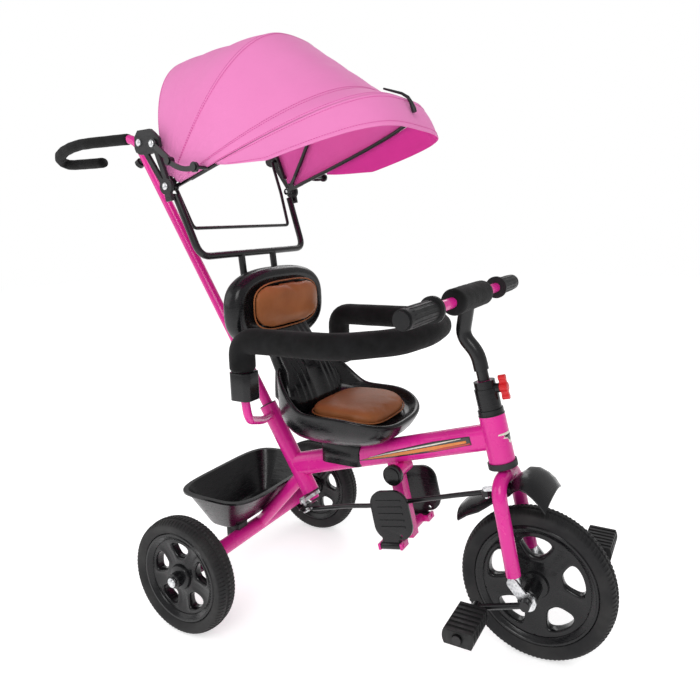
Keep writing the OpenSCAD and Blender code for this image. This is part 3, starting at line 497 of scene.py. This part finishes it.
def grown(name, seed, tree, values, body):
    """Runs a node tree on a seed object and keeps the result as a plain mesh."""
    scene.collection.objects.link(seed)
    grower = seed.modifiers.new("grow", "NODES")
    grower.node_group = tree
    for item in tree.interface.items_tree:
        if item.in_out == "INPUT" and item.name in values:
            grower[item.identifier] = values[item.name]
    view = bpy.context.evaluated_depsgraph_get()
    view.update()
    mesh = bpy.data.meshes.new_from_object(seed.evaluated_get(view))
    mesh.name = name
    bpy.data.objects.remove(seed)
    return piece(name, mesh, body, values["Finish"])


def round_array(name, unit, count, centre, finish, body):
    seed = bpy.data.objects.new(name + "_unit", unit)
    return grown(name, seed, ROUND_ARRAY, {"Count": count, "Centre": centre, "Finish": finish}, body)


def stitches(name, points, body, finish, spacing=0.0042, length=0.0015, thickness=0.00045):
    line = bpy.data.curves.new(name + "_line", "CURVE")
    line.dimensions = "3D"
    spline = line.splines.new("POLY")
    spline.points.add(len(points) - 1)
    for dot, p in zip(spline.points, points):
        dot.co = (*p, 1)
    seed = bpy.data.objects.new(name + "_line", line)
    return grown(name, seed, STITCH_ROW, {"Spacing": spacing, "Length": length, "Thickness": thickness,
                                          "Finish": finish}, body)


# ---------- canopy ----------

# Cloth stations, front to rear: angle, radius, half width, fullness of the curve
STATIONS = [(19.8, 371, 148, 3.6), (22.4, 350, 151, 3.2), (25.4, 330, 154, 2.8), (31, 313.5, 155, 2.8),
            (40, 296, 155, 2.8), (50, 286.5, 155, 2.75), (58.6, 285, 155, 2.7), (75, 248, 155, 2.5),
            (91, 235, 155, 2.35), (106.3, 237, 155, 2.2)]
MID_SEAM, SLEEVE_SEAM, HEM, REAR_EDGE = 58.6, 25.4, 19.8, 106.3


def station(phi):
    for a, b in zip(STATIONS, STATIONS[1:]):
        if phi <= b[0] + 1e-6:
            t = (phi - a[0]) / (b[0] - a[0])
            return [a[k] + (b[k] - a[k]) * t for k in (1, 2, 3)]
    return list(STATIONS[-1][1:])


def ridge(distance, half):
    """Height from 0 to 1 of a flat raised strip."""
    return max(0.0, min(1.0, (half - abs(distance)) / 1.2))


def arch(u, r, w, n, foot):
    """Across and rise of a rounded arch that starts a little above its feet; u runs from -1 to 1."""
    first = math.asin((foot / r) ** (n / 2))
    t = first + (math.pi - 2 * first) * (u + 1) / 2
    return -w * math.copysign(abs(math.cos(t)) ** (2 / n), math.cos(t)), r * math.sin(t) ** (2 / n)


def hood_point(phi, u, lift=0.0):
    """Point of the cloth: u runs from -1 at the right foot to 1 at the left."""
    r, w, n = station(phi)
    y, rise = arch(u, r + lift, w + lift, n, 17)
    a = math.radians(phi)
    return hood + Vector((rise * math.cos(a), y, rise * math.sin(a))) * MM


def slack(phi, u):
    """How far the cloth sinks, in millimetres, between the bows and in soft creases."""
    panel = 0.0
    for a, b in ((SLEEVE_SEAM, MID_SEAM), (MID_SEAM, REAR_EDGE)):
        if a < phi < b:
            s = (phi - a) / (b - a)
            panel = math.sin(math.pi * s)
    foot = min(1.0, 3.2 * (1 - abs(u)))
    spot = Vector((phi * 0.055, u * 2.1, 3.0))
    fold = noise.noise(spot) + 0.5 * noise.noise(spot * 2.3)
    drag = noise.noise(Vector((phi * 0.16, 0.6 * u, 9.0)))
    return panel * foot * (0.9 + 1.6 * max(0, fold)) + 0.7 * panel * (1 - foot) * abs(drag) * 2


def cloth_lift(phi, u):
    lift = -0.9 - slack(phi, u)
    arc = phi * 5.0
    lift += 0.7 * ridge(arc - MID_SEAM * 5.0, 4.5) + 0.6 * ridge(arc - SLEEVE_SEAM * 5.0, 3.5)
    lift -= 0.5 * ridge(arc - (MID_SEAM * 5.0 + 6.5), 1.4) + 0.5 * ridge(arc - (SLEEVE_SEAM * 5.0 + 5.5), 1.4)
    return lift


def cloth_grid(name, rows, thickness, body, shaded_inside):
    """A sheet through rows of points, with its weave laid out in metres; its inside is the same cloth in a deeper
    colour, as painted shade and painted light shining through.
    """
    mesh = from_rings(name, rows, closed=False)
    width = [0.0]
    middle = rows[len(rows) // 2]
    for a, b in zip(middle, middle[1:]):
        width.append(width[-1] + (b - a).length)
    column = len(rows[0]) // 2
    length = [0.0]
    for a, b in zip(rows, rows[1:]):
        length.append(length[-1] + (b[column] - a[column]).length)
    layer = mesh.uv_layers.new(name="weave")
    across = len(rows[0])
    for loop in mesh.loops:
        i, j = divmod(loop.vertex_index, across)
        layer.data[loop.index].uv = (width[j], length[i])
    cover = piece(name, mesh, body, CLOTH)
    # The inner face gets the deeper copy of the cloth: painted shade and painted light shining through.
    mesh.materials.append(shaded_inside)
    wall = cover.modifiers.new("cloth_thickness", "SOLIDIFY")
    wall.thickness = thickness
    wall.offset = -1
    wall.material_offset = 1
    area = sum(p.area for p in mesh.polygons)
    return cover, width[-1], length[-1], area


CLOTH_THICK = 0.0012
PHI = [HEM + (REAR_EDGE - HEM) * k / 110 for k in range(111)]
ACROSS = [-1 + 2 * k / 150 for k in range(151)]
hood_rows = [[hood_point(phi, u, cloth_lift(phi, u)) for u in ACROSS] for phi in PHI]
canopy, cloth_w, cloth_l, cloth_area = cloth_grid("canopy_cover", hood_rows, CLOTH_THICK, None, PALE_SHADED_INSIDE)
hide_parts("canopy")
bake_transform(canopy)


def hood_stitches(name, phi):
    across = [-0.97 + 1.94 * k / 120 for k in range(121)]
    dots = [hood_point(phi, u, cloth_lift(phi, u) + 0.1) for u in across]
    row = stitches(name, dots, None, PINK_THREAD)
    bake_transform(row)
    return row


hood_rows_of_thread = [hood_stitches("stitches_" + label, phi) for label, phi in (
    ("mid_bow_front", MID_SEAM - 0.65), ("mid_bow_rear", MID_SEAM + 0.65), ("sleeve_front", SLEEVE_SEAM - 0.5),
    ("sleeve_rear", SLEEVE_SEAM + 0.5), ("hem", HEM + 0.7), ("rear_edge", 105.3))]


# ---------- visor ----------

def visor_edge(u, lift=0.0):
    phi = math.radians(14.8)
    y, rise = arch(u, 385 + lift, 156.7 + lift, 4.1, 133)
    return hood + Vector((rise * math.cos(phi), y, -22 + rise * math.sin(phi))) * MM


def visor_top(u, lift=0.0):
    phi = math.radians(HEM)
    y, rise = arch(u, 371 + lift, 148 + lift, 3.6, 97)
    return hood + Vector((rise * math.cos(phi), y, rise * math.sin(phi))) * MM + Vector((0.35, 0, -0.7)) * MM


def visor_point(s, u, lift=0.0):
    low, high = visor_edge(u, lift), visor_top(u, lift)
    low = high.lerp(low, max(0.12, min(1.0, (1 - abs(u)) / 0.11) ** 0.5))
    crown = 1.6 * math.sin(math.pi * s) + 0.5 * noise.noise(Vector((u * 5, s * 2, 4)))
    return low.lerp(high, s) + Vector((1.2, 0, 1.0)) * MM * crown


VISOR_S = [k / 26 for k in range(27)]
visor_rows = []
for s in VISOR_S:
    raised = 0.45 * ridge((s - 0.06) * 55, 3.4) + 0.4 * ridge((s - 0.95) * 55, 2.6)
    visor_rows.append([visor_point(s, u, raised - 0.7) for u in ACROSS])
visor, visor_w, visor_l, visor_area = cloth_grid("visor_cover", visor_rows, CLOTH_THICK, "front_bow", SHADED_INSIDE)
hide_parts("visor")
for label, s in (("visor_hem", 0.125), ("visor_seam", 0.9)):
    dots = [visor_point(s, -0.98 + 1.96 * k / 120, -0.35) for k in range(121)]
    stitches("stitches_" + label, dots, "front_bow", PINK_THREAD)


# ---------- cushions ----------

def superellipse(cx, cy, hx, hy, n, count):
    ring = []
    for k in range(count):
        a = 2 * math.pi * k / count
        c, s = math.cos(a), math.sin(a)
        x = hx * math.copysign(abs(c) ** (2 / n), c)
        y = hy * math.copysign(abs(s) ** (2 / n), s)
        ring.append((cx + x, cy + y))
    return ring


def stuffed(thing, cap):
    """Swells a closed pad by cloth simulation, keeps each point within the cap, and smooths it."""
    voxels = thing.modifiers.new("even_mesh", "REMESH")
    voxels.mode = "VOXEL"
    voxels.voxel_size = 0.005
    view = bpy.context.evaluated_depsgraph_get()
    even_mesh = bpy.data.meshes.new_from_object(thing.evaluated_get(view))
    thing.modifiers.remove(voxels)
    thing.data = even_mesh
    start = [v.co.copy() for v in even_mesh.vertices]
    cloth = thing.modifiers.new("stuffing", "CLOTH")
    cloth.settings.use_pressure = True
    cloth.settings.uniform_pressure_force = 4
    cloth.settings.effector_weights.gravity = 0
    cloth.point_cache.frame_start, cloth.point_cache.frame_end = 1, 20
    for step in range(1, 21):
        scene.frame_set(step)
    view = bpy.context.evaluated_depsgraph_get()
    swollen = bpy.data.meshes.new_from_object(thing.evaluated_get(view))
    thing.modifiers.remove(cloth)
    scene.frame_set(1)
    for v, home in zip(swollen.vertices, start):
        move = v.co - home
        if move.length > cap:
            v.co = home + move.normalized() * cap
    thing.data = swollen
    thing.data.materials.clear()
    thing.data.materials.append(LEATHER)
    thing.data.polygons.foreach_set("use_smooth", [True] * len(thing.data.polygons))
    smooth = thing.modifiers.new("smooth_cover", "SUBSURF")
    smooth.levels = smooth.render_levels = 1


def cushion(name, node, place, half, thick, fullness):
    """A crowned pad: place maps across, along and height in metres to the row frame."""
    rings = []
    for h, inset in ((0.0, 0.006), (0.12, 0.003), (0.4, 0.0015), (0.7, 0.004), (0.86, 0.011), (0.95, 0.022)):
        ring = superellipse(0, 0, half[0] - inset, half[1] - inset, fullness, 72)
        rings.append([place(x, y, h * thick) for x, y in ring])
    mesh = from_rings(name, rings)
    pad = piece(name, mesh, None, LEATHER)
    stuffed(pad, 0.004)
    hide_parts(node)
    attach(pad, "frame")
    edge = superellipse(0, 0, half[0] - 0.0005, half[1] - 0.0005, fullness, 120)
    loop = [place(x, y, 0.32 * thick) for x, y in edge]
    pipe = from_rings(name + "_piping", sweep(loop + [loop[0], loop[1]], lambda s, a: 0.0013, 10))
    piece(name + "_piping", pipe, "frame", LEATHER)


# ---------- seat shell ----------

def seat_piece(name, rings, node):
    shell = piece(name, from_rings(name, rings), "frame", GLOSS_PLASTIC)
    smooth = shell.modifiers.new("smooth_shell", "SUBSURF")
    smooth.levels = smooth.render_levels = 1
    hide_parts(node)
    return shell


SEAT_CLIMB, SEAT_DROOP = 62, 24


def bucket_ring(z, cx, hx, hy, rise):
    """Ring of the seat bucket: it climbs at the rear and droops at the front."""
    ring = []
    for x, y in superellipse(cx, 0, hx, hy, 2.9, 72):
        rear = max(0.0, min(1.0, ((cx - x) / hx - 0.15) / 0.85))
        past = max(0.0, (x - 245) / 90)
        climb = SEAT_CLIMB * rise * rear * rear * (3 - 2 * rear)
        ring.append(at(x + 10 * rise * rear, y, z + climb - SEAT_DROOP * past * past))
    return ring


seat_piece("seat_bucket", [bucket_ring(*row) for row in (
    (313, 200, 40, 30, 0), (313, 203, 70, 56, 0), (319, 205, 84, 68, 0.02), (334, 208, 101, 87, 0.1),
    (352, 211, 112, 99, 0.3), (368, 214, 116, 104, 0.75), (374, 215, 118, 106.5, 1), (378, 215, 117, 105.5, 1),
    (378, 215, 112, 100, 0.98), (373, 214, 109, 97.5, 0.9), (364, 213, 102, 92, 0.3), (360, 213, 94, 86, 0.02),
    (359.5, 213, 50, 46, 0))], "seat_pan")
saddle = from_rings("seat_foot", [[at(205 + 40 * x, 19.8 * y, z) for x, y in superellipse(0, 0, 1, 1, 6, 40)]
                                  for z in (262, 290, 316)])
piece("seat_foot", saddle, "frame", GLOSS_PLASTIC)

COLUMN = [(362, 143, 22, 60), (378, 139, 27, 72), (390, 134, 27, 80), (405, 130, 25, 76), (430, 121, 22, 64),
          (452, 107, 20, 60), (470, 95, 19, 60), (490, 80, 17, 64), (510, 72, 13, 66)]


def column_ring(z, cx, hx, hy):
    ring = []
    for x, y in superellipse(cx, 0, hx, hy, 3.6, 144):
        flute = 1.5 * (1 + math.cos(2 * math.pi * y / 14)) if x > cx and abs(y) < hy - 12 else 0
        ring.append(at(x - flute, y, z))
    return ring


def between(stations, steps):
    out = []
    for a, b in zip(stations, stations[1:]):
        out += [[p + (q - p) * k / steps for p, q in zip(a, b)] for k in range(steps)]
    return out + [list(stations[-1])]


column_mesh = from_rings("seat_column", [column_ring(*row) for row in between(COLUMN, 4)])
piece("seat_column", column_mesh, "frame", GLOSS_PLASTIC)


def back_ring(x, inset):
    return [at(x, y, 537 + z) for y, z in superellipse(0, 0, 123 - inset, 69 - inset, 2.75, 96)]


seat_piece("backrest_shell", [back_ring(x, inset) for x, inset in (
    (48, 60), (48, 34), (49, 16), (52, 6), (58, 1), (66, 0), (75, 0), (82, 2), (86.5, 7), (87.8, 13), (87, 19),
    (84.5, 23), (84, 30), (84, 55))], "seat_back")


seat_lo, seat_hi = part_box("seat_cushion")
seat_mid = (seat_lo + seat_hi) / 2
seat_thick = 0.0225


def on_seat(x, y, h):
    """The seat pad follows the seat's drooping front."""
    ahead = seat_mid.x + x
    past = max(0.0, (ahead - (axle_x + 0.245)) / 0.090)
    return Vector((ahead, y, 0.3606 + h - SEAT_DROOP * MM * past * past))


cushion("seat_cushion_cover", "seat_cushion", on_seat,
        ((seat_hi.x - seat_lo.x) / 2 - 0.001, (seat_hi.y - seat_lo.y) / 2 - 0.001), seat_thick, 3.4)
back_lo, back_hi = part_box("back_cushion")


def on_back(y, z, h):
    return Vector((back_lo.x + 0.0004 + h, y, (back_lo.z + back_hi.z) / 2 + z))


cushion("back_cushion_cover", "back_cushion", on_back,
        ((back_hi.y - back_lo.y) / 2 - 0.001, (back_hi.z - back_lo.z) / 2 - 0.001), 0.0135, 3.2)


# ---------- foam ----------

def foam(name, node, body, path, radius, taper):
    """A foam sleeve: slightly uneven, with a rounded lip at each end and a faint mould line."""
    line = even(path, 0.006)

    def reach(share, a):
        end = min(share, 1 - share)
        lip = 1 - 0.14 * max(0, 1 - end / taper) ** 2
        wave = 0.0004 * noise.noise(Vector((share * 22, math.cos(a), math.sin(a))))
        line_mark = 0.0004 * max(0, 1 - abs((a % (2 * math.pi)) - math.pi) / 0.06)
        return radius * lip - 0.0004 + wave - line_mark

    sleeve = piece(name, from_rings(name, sweep(line, reach, 40)), body, FOAM)
    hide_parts(node)


bar_side = [at(108, -140, 450.5), at(108, -140, 500), at(286, -140, 502), at(360, -80, 504)]
bar_far = [Vector((p.x, -p.y, p.z)) for p in bar_side[::-1]]
foam("safety_bar_foam", "safety_bar", "safety_bar",
     rounded(bar_side + [at(375, 0, 505)] + bar_far, 0.028, 8), 0.021, 0.006)
pad_lo, pad_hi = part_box("bar_pad")
pad_mid = (pad_lo + pad_hi) / 2
foam("bar_pad_foam", "bar_pad", "handlebar",
     [Vector((pad_mid.x, pad_lo.y, pad_mid.z)), Vector((pad_mid.x, pad_hi.y, pad_mid.z))], 0.0205, 0.03)
hook = [(-280, 0, 853), (-395, 0, 853), (-430, 1, 852.5), (-470, 6, 849), (-505, 14, 844), (-532, 23, 838),
        (-550, 34, 831), (-557, 45, 825), (-550, 53, 820.5), (-532, 55, 819), (-500, 55, 819), (-432, 54, 819)]
foam("push_handle_foam", "handle_foam", "push_pole", [at(*p) for p in hook], 0.0115, 0.012)


# ---------- tyres ----------

def tyre_profile(half, outer, wall, drop):
    """Cross-section of a tyre as (across, radius) pairs, with two grooves round the tread."""
    points = [(-half + 4, outer - wall), (-half, outer - 9 - 4), (-half, outer - 9)]
    for k in range(25):
        a = math.radians(-75 + 150 * k / 24)
        across = half * math.sin(a) / math.sin(math.radians(75))
        groove = 0.9 if 3.2 < abs(across) < 5.4 else 0.0
        points.append((across, outer - 9 + 9 * math.cos(a) - drop - groove))
    return points + [(half, outer - 9), (half, outer - 9 - 4), (half - 4, outer - wall)]


def tyre(name, node, body, wall, count):
    lo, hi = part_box(node)
    mid = (lo + hi) / 2
    outer = (hi.z - lo.z) / 2 / MM
    half = (hi.y - lo.y) / 2 / MM
    mesh = turned(name, mid, tyre_profile(half, outer, wall, 1.0), 144)
    casing = piece(name, mesh, body, TYRE)
    crisp(casing, 40)
    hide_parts(node)
    for side in (-1, 1):
        rib = []
        for k in range(7):
            a = math.radians(26 + 54 * k / 6)
            across = side * half * min(1, math.sin(a) / math.sin(math.radians(75)))
            r = outer - 9 + 9 * math.cos(a)
            skew = 0.012 * k / 6
            rib.append([Vector((r * math.sin(t + skew), across * 0.996, r * math.cos(t + skew))) * MM
                        for t, r in ((-0.011, r - 1.4), (-0.008, r - 0.1),
                                     (0.008, r - 0.1), (0.011, r - 1.4))])
        unit = from_rings(name + "_rib", rib)
        round_array(f"{name}_ribs_{'l' if side > 0 else 'r'}", unit, count, mid, TYRE, body)
    block = from_rings(name + "_block", [[Vector((x, y, outer - 1.6 + 1.5 * k)) * MM for x, y in (
        (-2.0, -2.8), (2.0, -2.4), (2.4, 2.8), (-1.6, 2.4))] for k in (0, 1)])
    round_array(name + "_tread", block, count, mid, TYRE, body)


tyre("front_tyre_casing", "front_tyre", "front_wheel", 24.5, 108)
tyre("rear_tyre_casing_r", "rear_tyre_r", "rear_wheel_r", 22, 90)
tyre("rear_tyre_casing_l", "rear_tyre_l", "rear_wheel_l", 22, 90)


# ---------- wheels ----------

def window_web(name, mid, hub_r, rim_r, low, high, spread):
    """Dished web with five rounded windows: each sector's skin runs through its window to the other face."""
    shape = bmesh.new()
    count = 56
    centre, half = (low + high) / 2, (high - low) / 2
    outer_face = [(1, 1), (0.75, 1), (0.5, 1), (0.3, 1), (0.14, 1), (0.03, 0.9), (0, 0.55)]
    shares = outer_face + [(t, -face) for t, face in reversed(outer_face)]
    for sector in range(5):
        loops = []
        for t, face in shares:
            loop = []
            for k in range(count):
                a = 2 * math.pi * (k + 0.5) / count
                c, q = math.cos(a), math.sin(a)
                reach = max(abs(c), abs(q))
                taper = 0.82 + 0.18 * math.copysign(abs(q) ** 0.7, q)
                win_r = centre + half * math.copysign(abs(q) ** 0.72, q)
                win_a = spread * taper * math.copysign(abs(c) ** 0.72, c)
                out_r = (hub_r + rim_r) / 2 + (rim_r - hub_r) / 2 * q / reach
                out_a = 36 * c / reach
                radius = win_r + (out_r - win_r) * t
                angle = math.radians(72 * sector + win_a + (out_a - win_a) * t)
                lip = 1.8 * math.exp(-((t - 0.2) / 0.14) ** 2)
                dish = 9.5 - 4 * math.sin(math.pi * (radius - hub_r) / (rim_r - hub_r)) + lip
                loop.append(shape.verts.new((radius * math.sin(angle), dish * face, radius * math.cos(angle))))
            loops.append(loop)
        for a, b in zip(loops, loops[1:]):
            for k in range(count):
                j = (k + 1) % count
                shape.faces.new((a[k], a[j], b[j], b[k]))
    for v in shape.verts:
        v.co = mid + v.co * MM
    bmesh.ops.remove_doubles(shape, verts=shape.verts, dist=0.00002)
    bmesh.ops.recalc_face_normals(shape, faces=shape.faces)
    mesh = bpy.data.meshes.new(name)
    shape.to_mesh(mesh)
    shape.free()
    return mesh


def wheel(label, node, body, tyre_node, wall, low, high, hub_len):
    """Web, barrel and hub; low and high are the windows' inner and outer radii in millimetres."""
    lo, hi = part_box(tyre_node)
    mid = (lo + hi) / 2
    rim_out = (hi.z - lo.z) / 2 / MM - wall
    rim_in = rim_out - 13
    web = piece(label + "_web", window_web(label + "_web", mid, 15, rim_in + 2, low, high, 23), body,
                GLOSS_PLASTIC)
    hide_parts(node)
    barrel = turned(label + "_barrel", mid, [
        (-13, rim_out - 0.2), (13, rim_out - 0.2), (15, rim_out - 2), (15, rim_out - 5),
        (13.4, rim_out - 6.5), (11.5, rim_in + 1), (9, rim_in - 0.5), (-9, rim_in - 0.5),
        (-11.5, rim_in + 1), (-13.4, rim_out - 6.5), (-15, rim_out - 5), (-15, rim_out - 2)])
    hub = turned(label + "_hub", mid, [
        (-hub_len, 5.2), (-hub_len, 11), (-hub_len + 1.2, 12.4), (-14, 13), (-12.5, 20), (-9, 22), (9, 22),
        (12.5, 20), (14, 13), (hub_len - 1.2, 12.4), (hub_len, 11), (hub_len, 5.2)], 64)
    for mesh in (barrel, hub):
        crisp(piece(mesh.name, mesh, body, GLOSS_PLASTIC), 40)


wheel("front_wheel", "front_rim", "front_wheel", "front_tyre", 24.5, 44, 77, 48)
wheel("rear_wheel_r", "rear_rim_r", "rear_wheel_r", "rear_tyre_r", 22, 33, 59, 25)
wheel("rear_wheel_l", "rear_rim_l", "rear_wheel_l", "rear_tyre_l", 22, 33, 59, 25)


# ---------- trim ----------

for side, label in ((-1, "r"), (1, "l")):
    flute = from_rings("grip_rib_unit_" + label, [
        [Vector((x, side * y, 13.2 + z)) * MM
         for x, z in ((-1.1, 0), (1.1, 0), (0.8, 1.5 * h), (-0.8, 1.5 * h))]
        for y, h in ((140, 0.5), (146, 1), (206, 1), (214, 0.5))])
    round_array("grip_ribs_" + label, flute, 16, Vector((pad_mid.x, 0, pad_mid.z)), SOFT_RUBBER, "handlebar")

TUBE_RISE = math.radians(16.2)
TUBE_START = at(97, 0, 237)


def tube_side(s, v, side, out):
    """Point on the main tube's flank: s along it and v up its height, in millimetres."""
    flat = max(0.0, abs(v) - 6)
    y = side * (math.sqrt(225 - min(flat, 14.5) ** 2) + out)
    along = Vector((math.cos(TUBE_RISE), 0, math.sin(TUBE_RISE)))
    up = Vector((-math.sin(TUBE_RISE), 0, math.cos(TUBE_RISE)))
    return TUBE_START + along * s * MM + up * v * MM + Vector((0, y, 0)) * MM


def stripe(name, side, ends, colour, out):
    """A tapering printed stripe: ends are (s, low, high) stations along the tube."""
    rings = []
    for (s0, l0, h0), (s1, l1, h1) in zip(ends, ends[1:]):
        for k in range(12):
            t = k / 12
            s, low, high = s0 + (s1 - s0) * t, l0 + (l1 - l0) * t, h0 + (h1 - h0) * t
            rings.append((s, low, high))
    rings.append(ends[-1])
    loops = []
    for s, low, high in rings:
        outer = [tube_side(s, low + (high - low) * k / 8, side, out) for k in range(9)]
        inner = [tube_side(s, low + (high - low) * k / 8, side, 0.04) for k in range(8, -1, -1)]
        loops.append(outer + inner)
    piece(name, from_rings(name, loops), "frame", INKS[colour])


for side, label in ((-1, "r"), (1, "l")):
    stripe("stripe_back_" + label, side,
           [(150, -6, -5.5), (210, -8, 3), (300, -8, 9), (366, -5, 9)], "black", 0.14)
    stripe("stripe_orange_" + label, side,
           [(160, -4.6, -4.2), (220, -6, -1), (290, -5, 1), (358, -1, 3)], "orange", 0.2)
    stripe("stripe_cream_" + label, side,
           [(172, -2.4, -2), (232, 0.2, 2.2), (300, 3, 5.4), (350, 6.6, 7.4)], "cream", 0.2)
    stripe("stripe_red_" + label, side, [(286, -7, -6.6), (316, -6.6, -2.6), (364, -4, -2)], "red", 0.26)

STEER_LEAN = math.radians(13.3)
STEER_FOOT = at(539, 0, 122.5)


def badge(name, rows, colour, out):
    """A printed shape wrapped round the front of the head tube: rows of (height, from, to) in degrees."""
    up = Vector((-math.sin(STEER_LEAN), 0, math.cos(STEER_LEAN)))
    fore = Vector((math.cos(STEER_LEAN), 0, math.sin(STEER_LEAN)))
    loops = []
    for h, a0, a1 in rows:
        wrap = [a0 + (a1 - a0) * k / 12 for k in range(13)]
        ring = []
        for r, angles in ((21 + out, wrap), (21.03, wrap[::-1])):
            for a in angles:
                turn = math.radians(a)
                outward = fore * math.cos(turn) + Vector((0, math.sin(turn), 0))
                ring.append(STEER_FOOT + up * h * MM + outward * r * MM)
        loops.append(ring)
    piece(name, from_rings(name, loops), "frame", INKS[colour])


badge("badge_plate", [(240, -58, 58), (238, -62, 62), (232, -40, 40), (224, -14, 14), (221, -4, 4)],
      "cream", 0.18)
badge("badge_chevron", [(236, -34, 34), (233, -30, 30), (228, -12, 12), (226, -3, 3)], "black", 0.28)


# ---------- floor and end ----------

floor_mesh = bpy.data.meshes.new("floor")
floor_mesh.from_pydata([(x, y, -0.0005) for x, y in ((-6, -6), (6, -6), (6, 6), (-6, 6))], [], [(0, 1, 2, 3)])
floor = bpy.data.objects.new("floor", floor_mesh)
scene.collection.objects.link(floor)
pale = Finish("pale_floor", (0.9, 0.9, 0.9), 0.8)
pale.shader.inputs["Emission Color"].default_value = (1, 1, 1, 1)
pale.shader.inputs["Emission Strength"].default_value = 0.55
floor_mesh.materials.append(pale.mat)

bpy.context.view_layer.update()
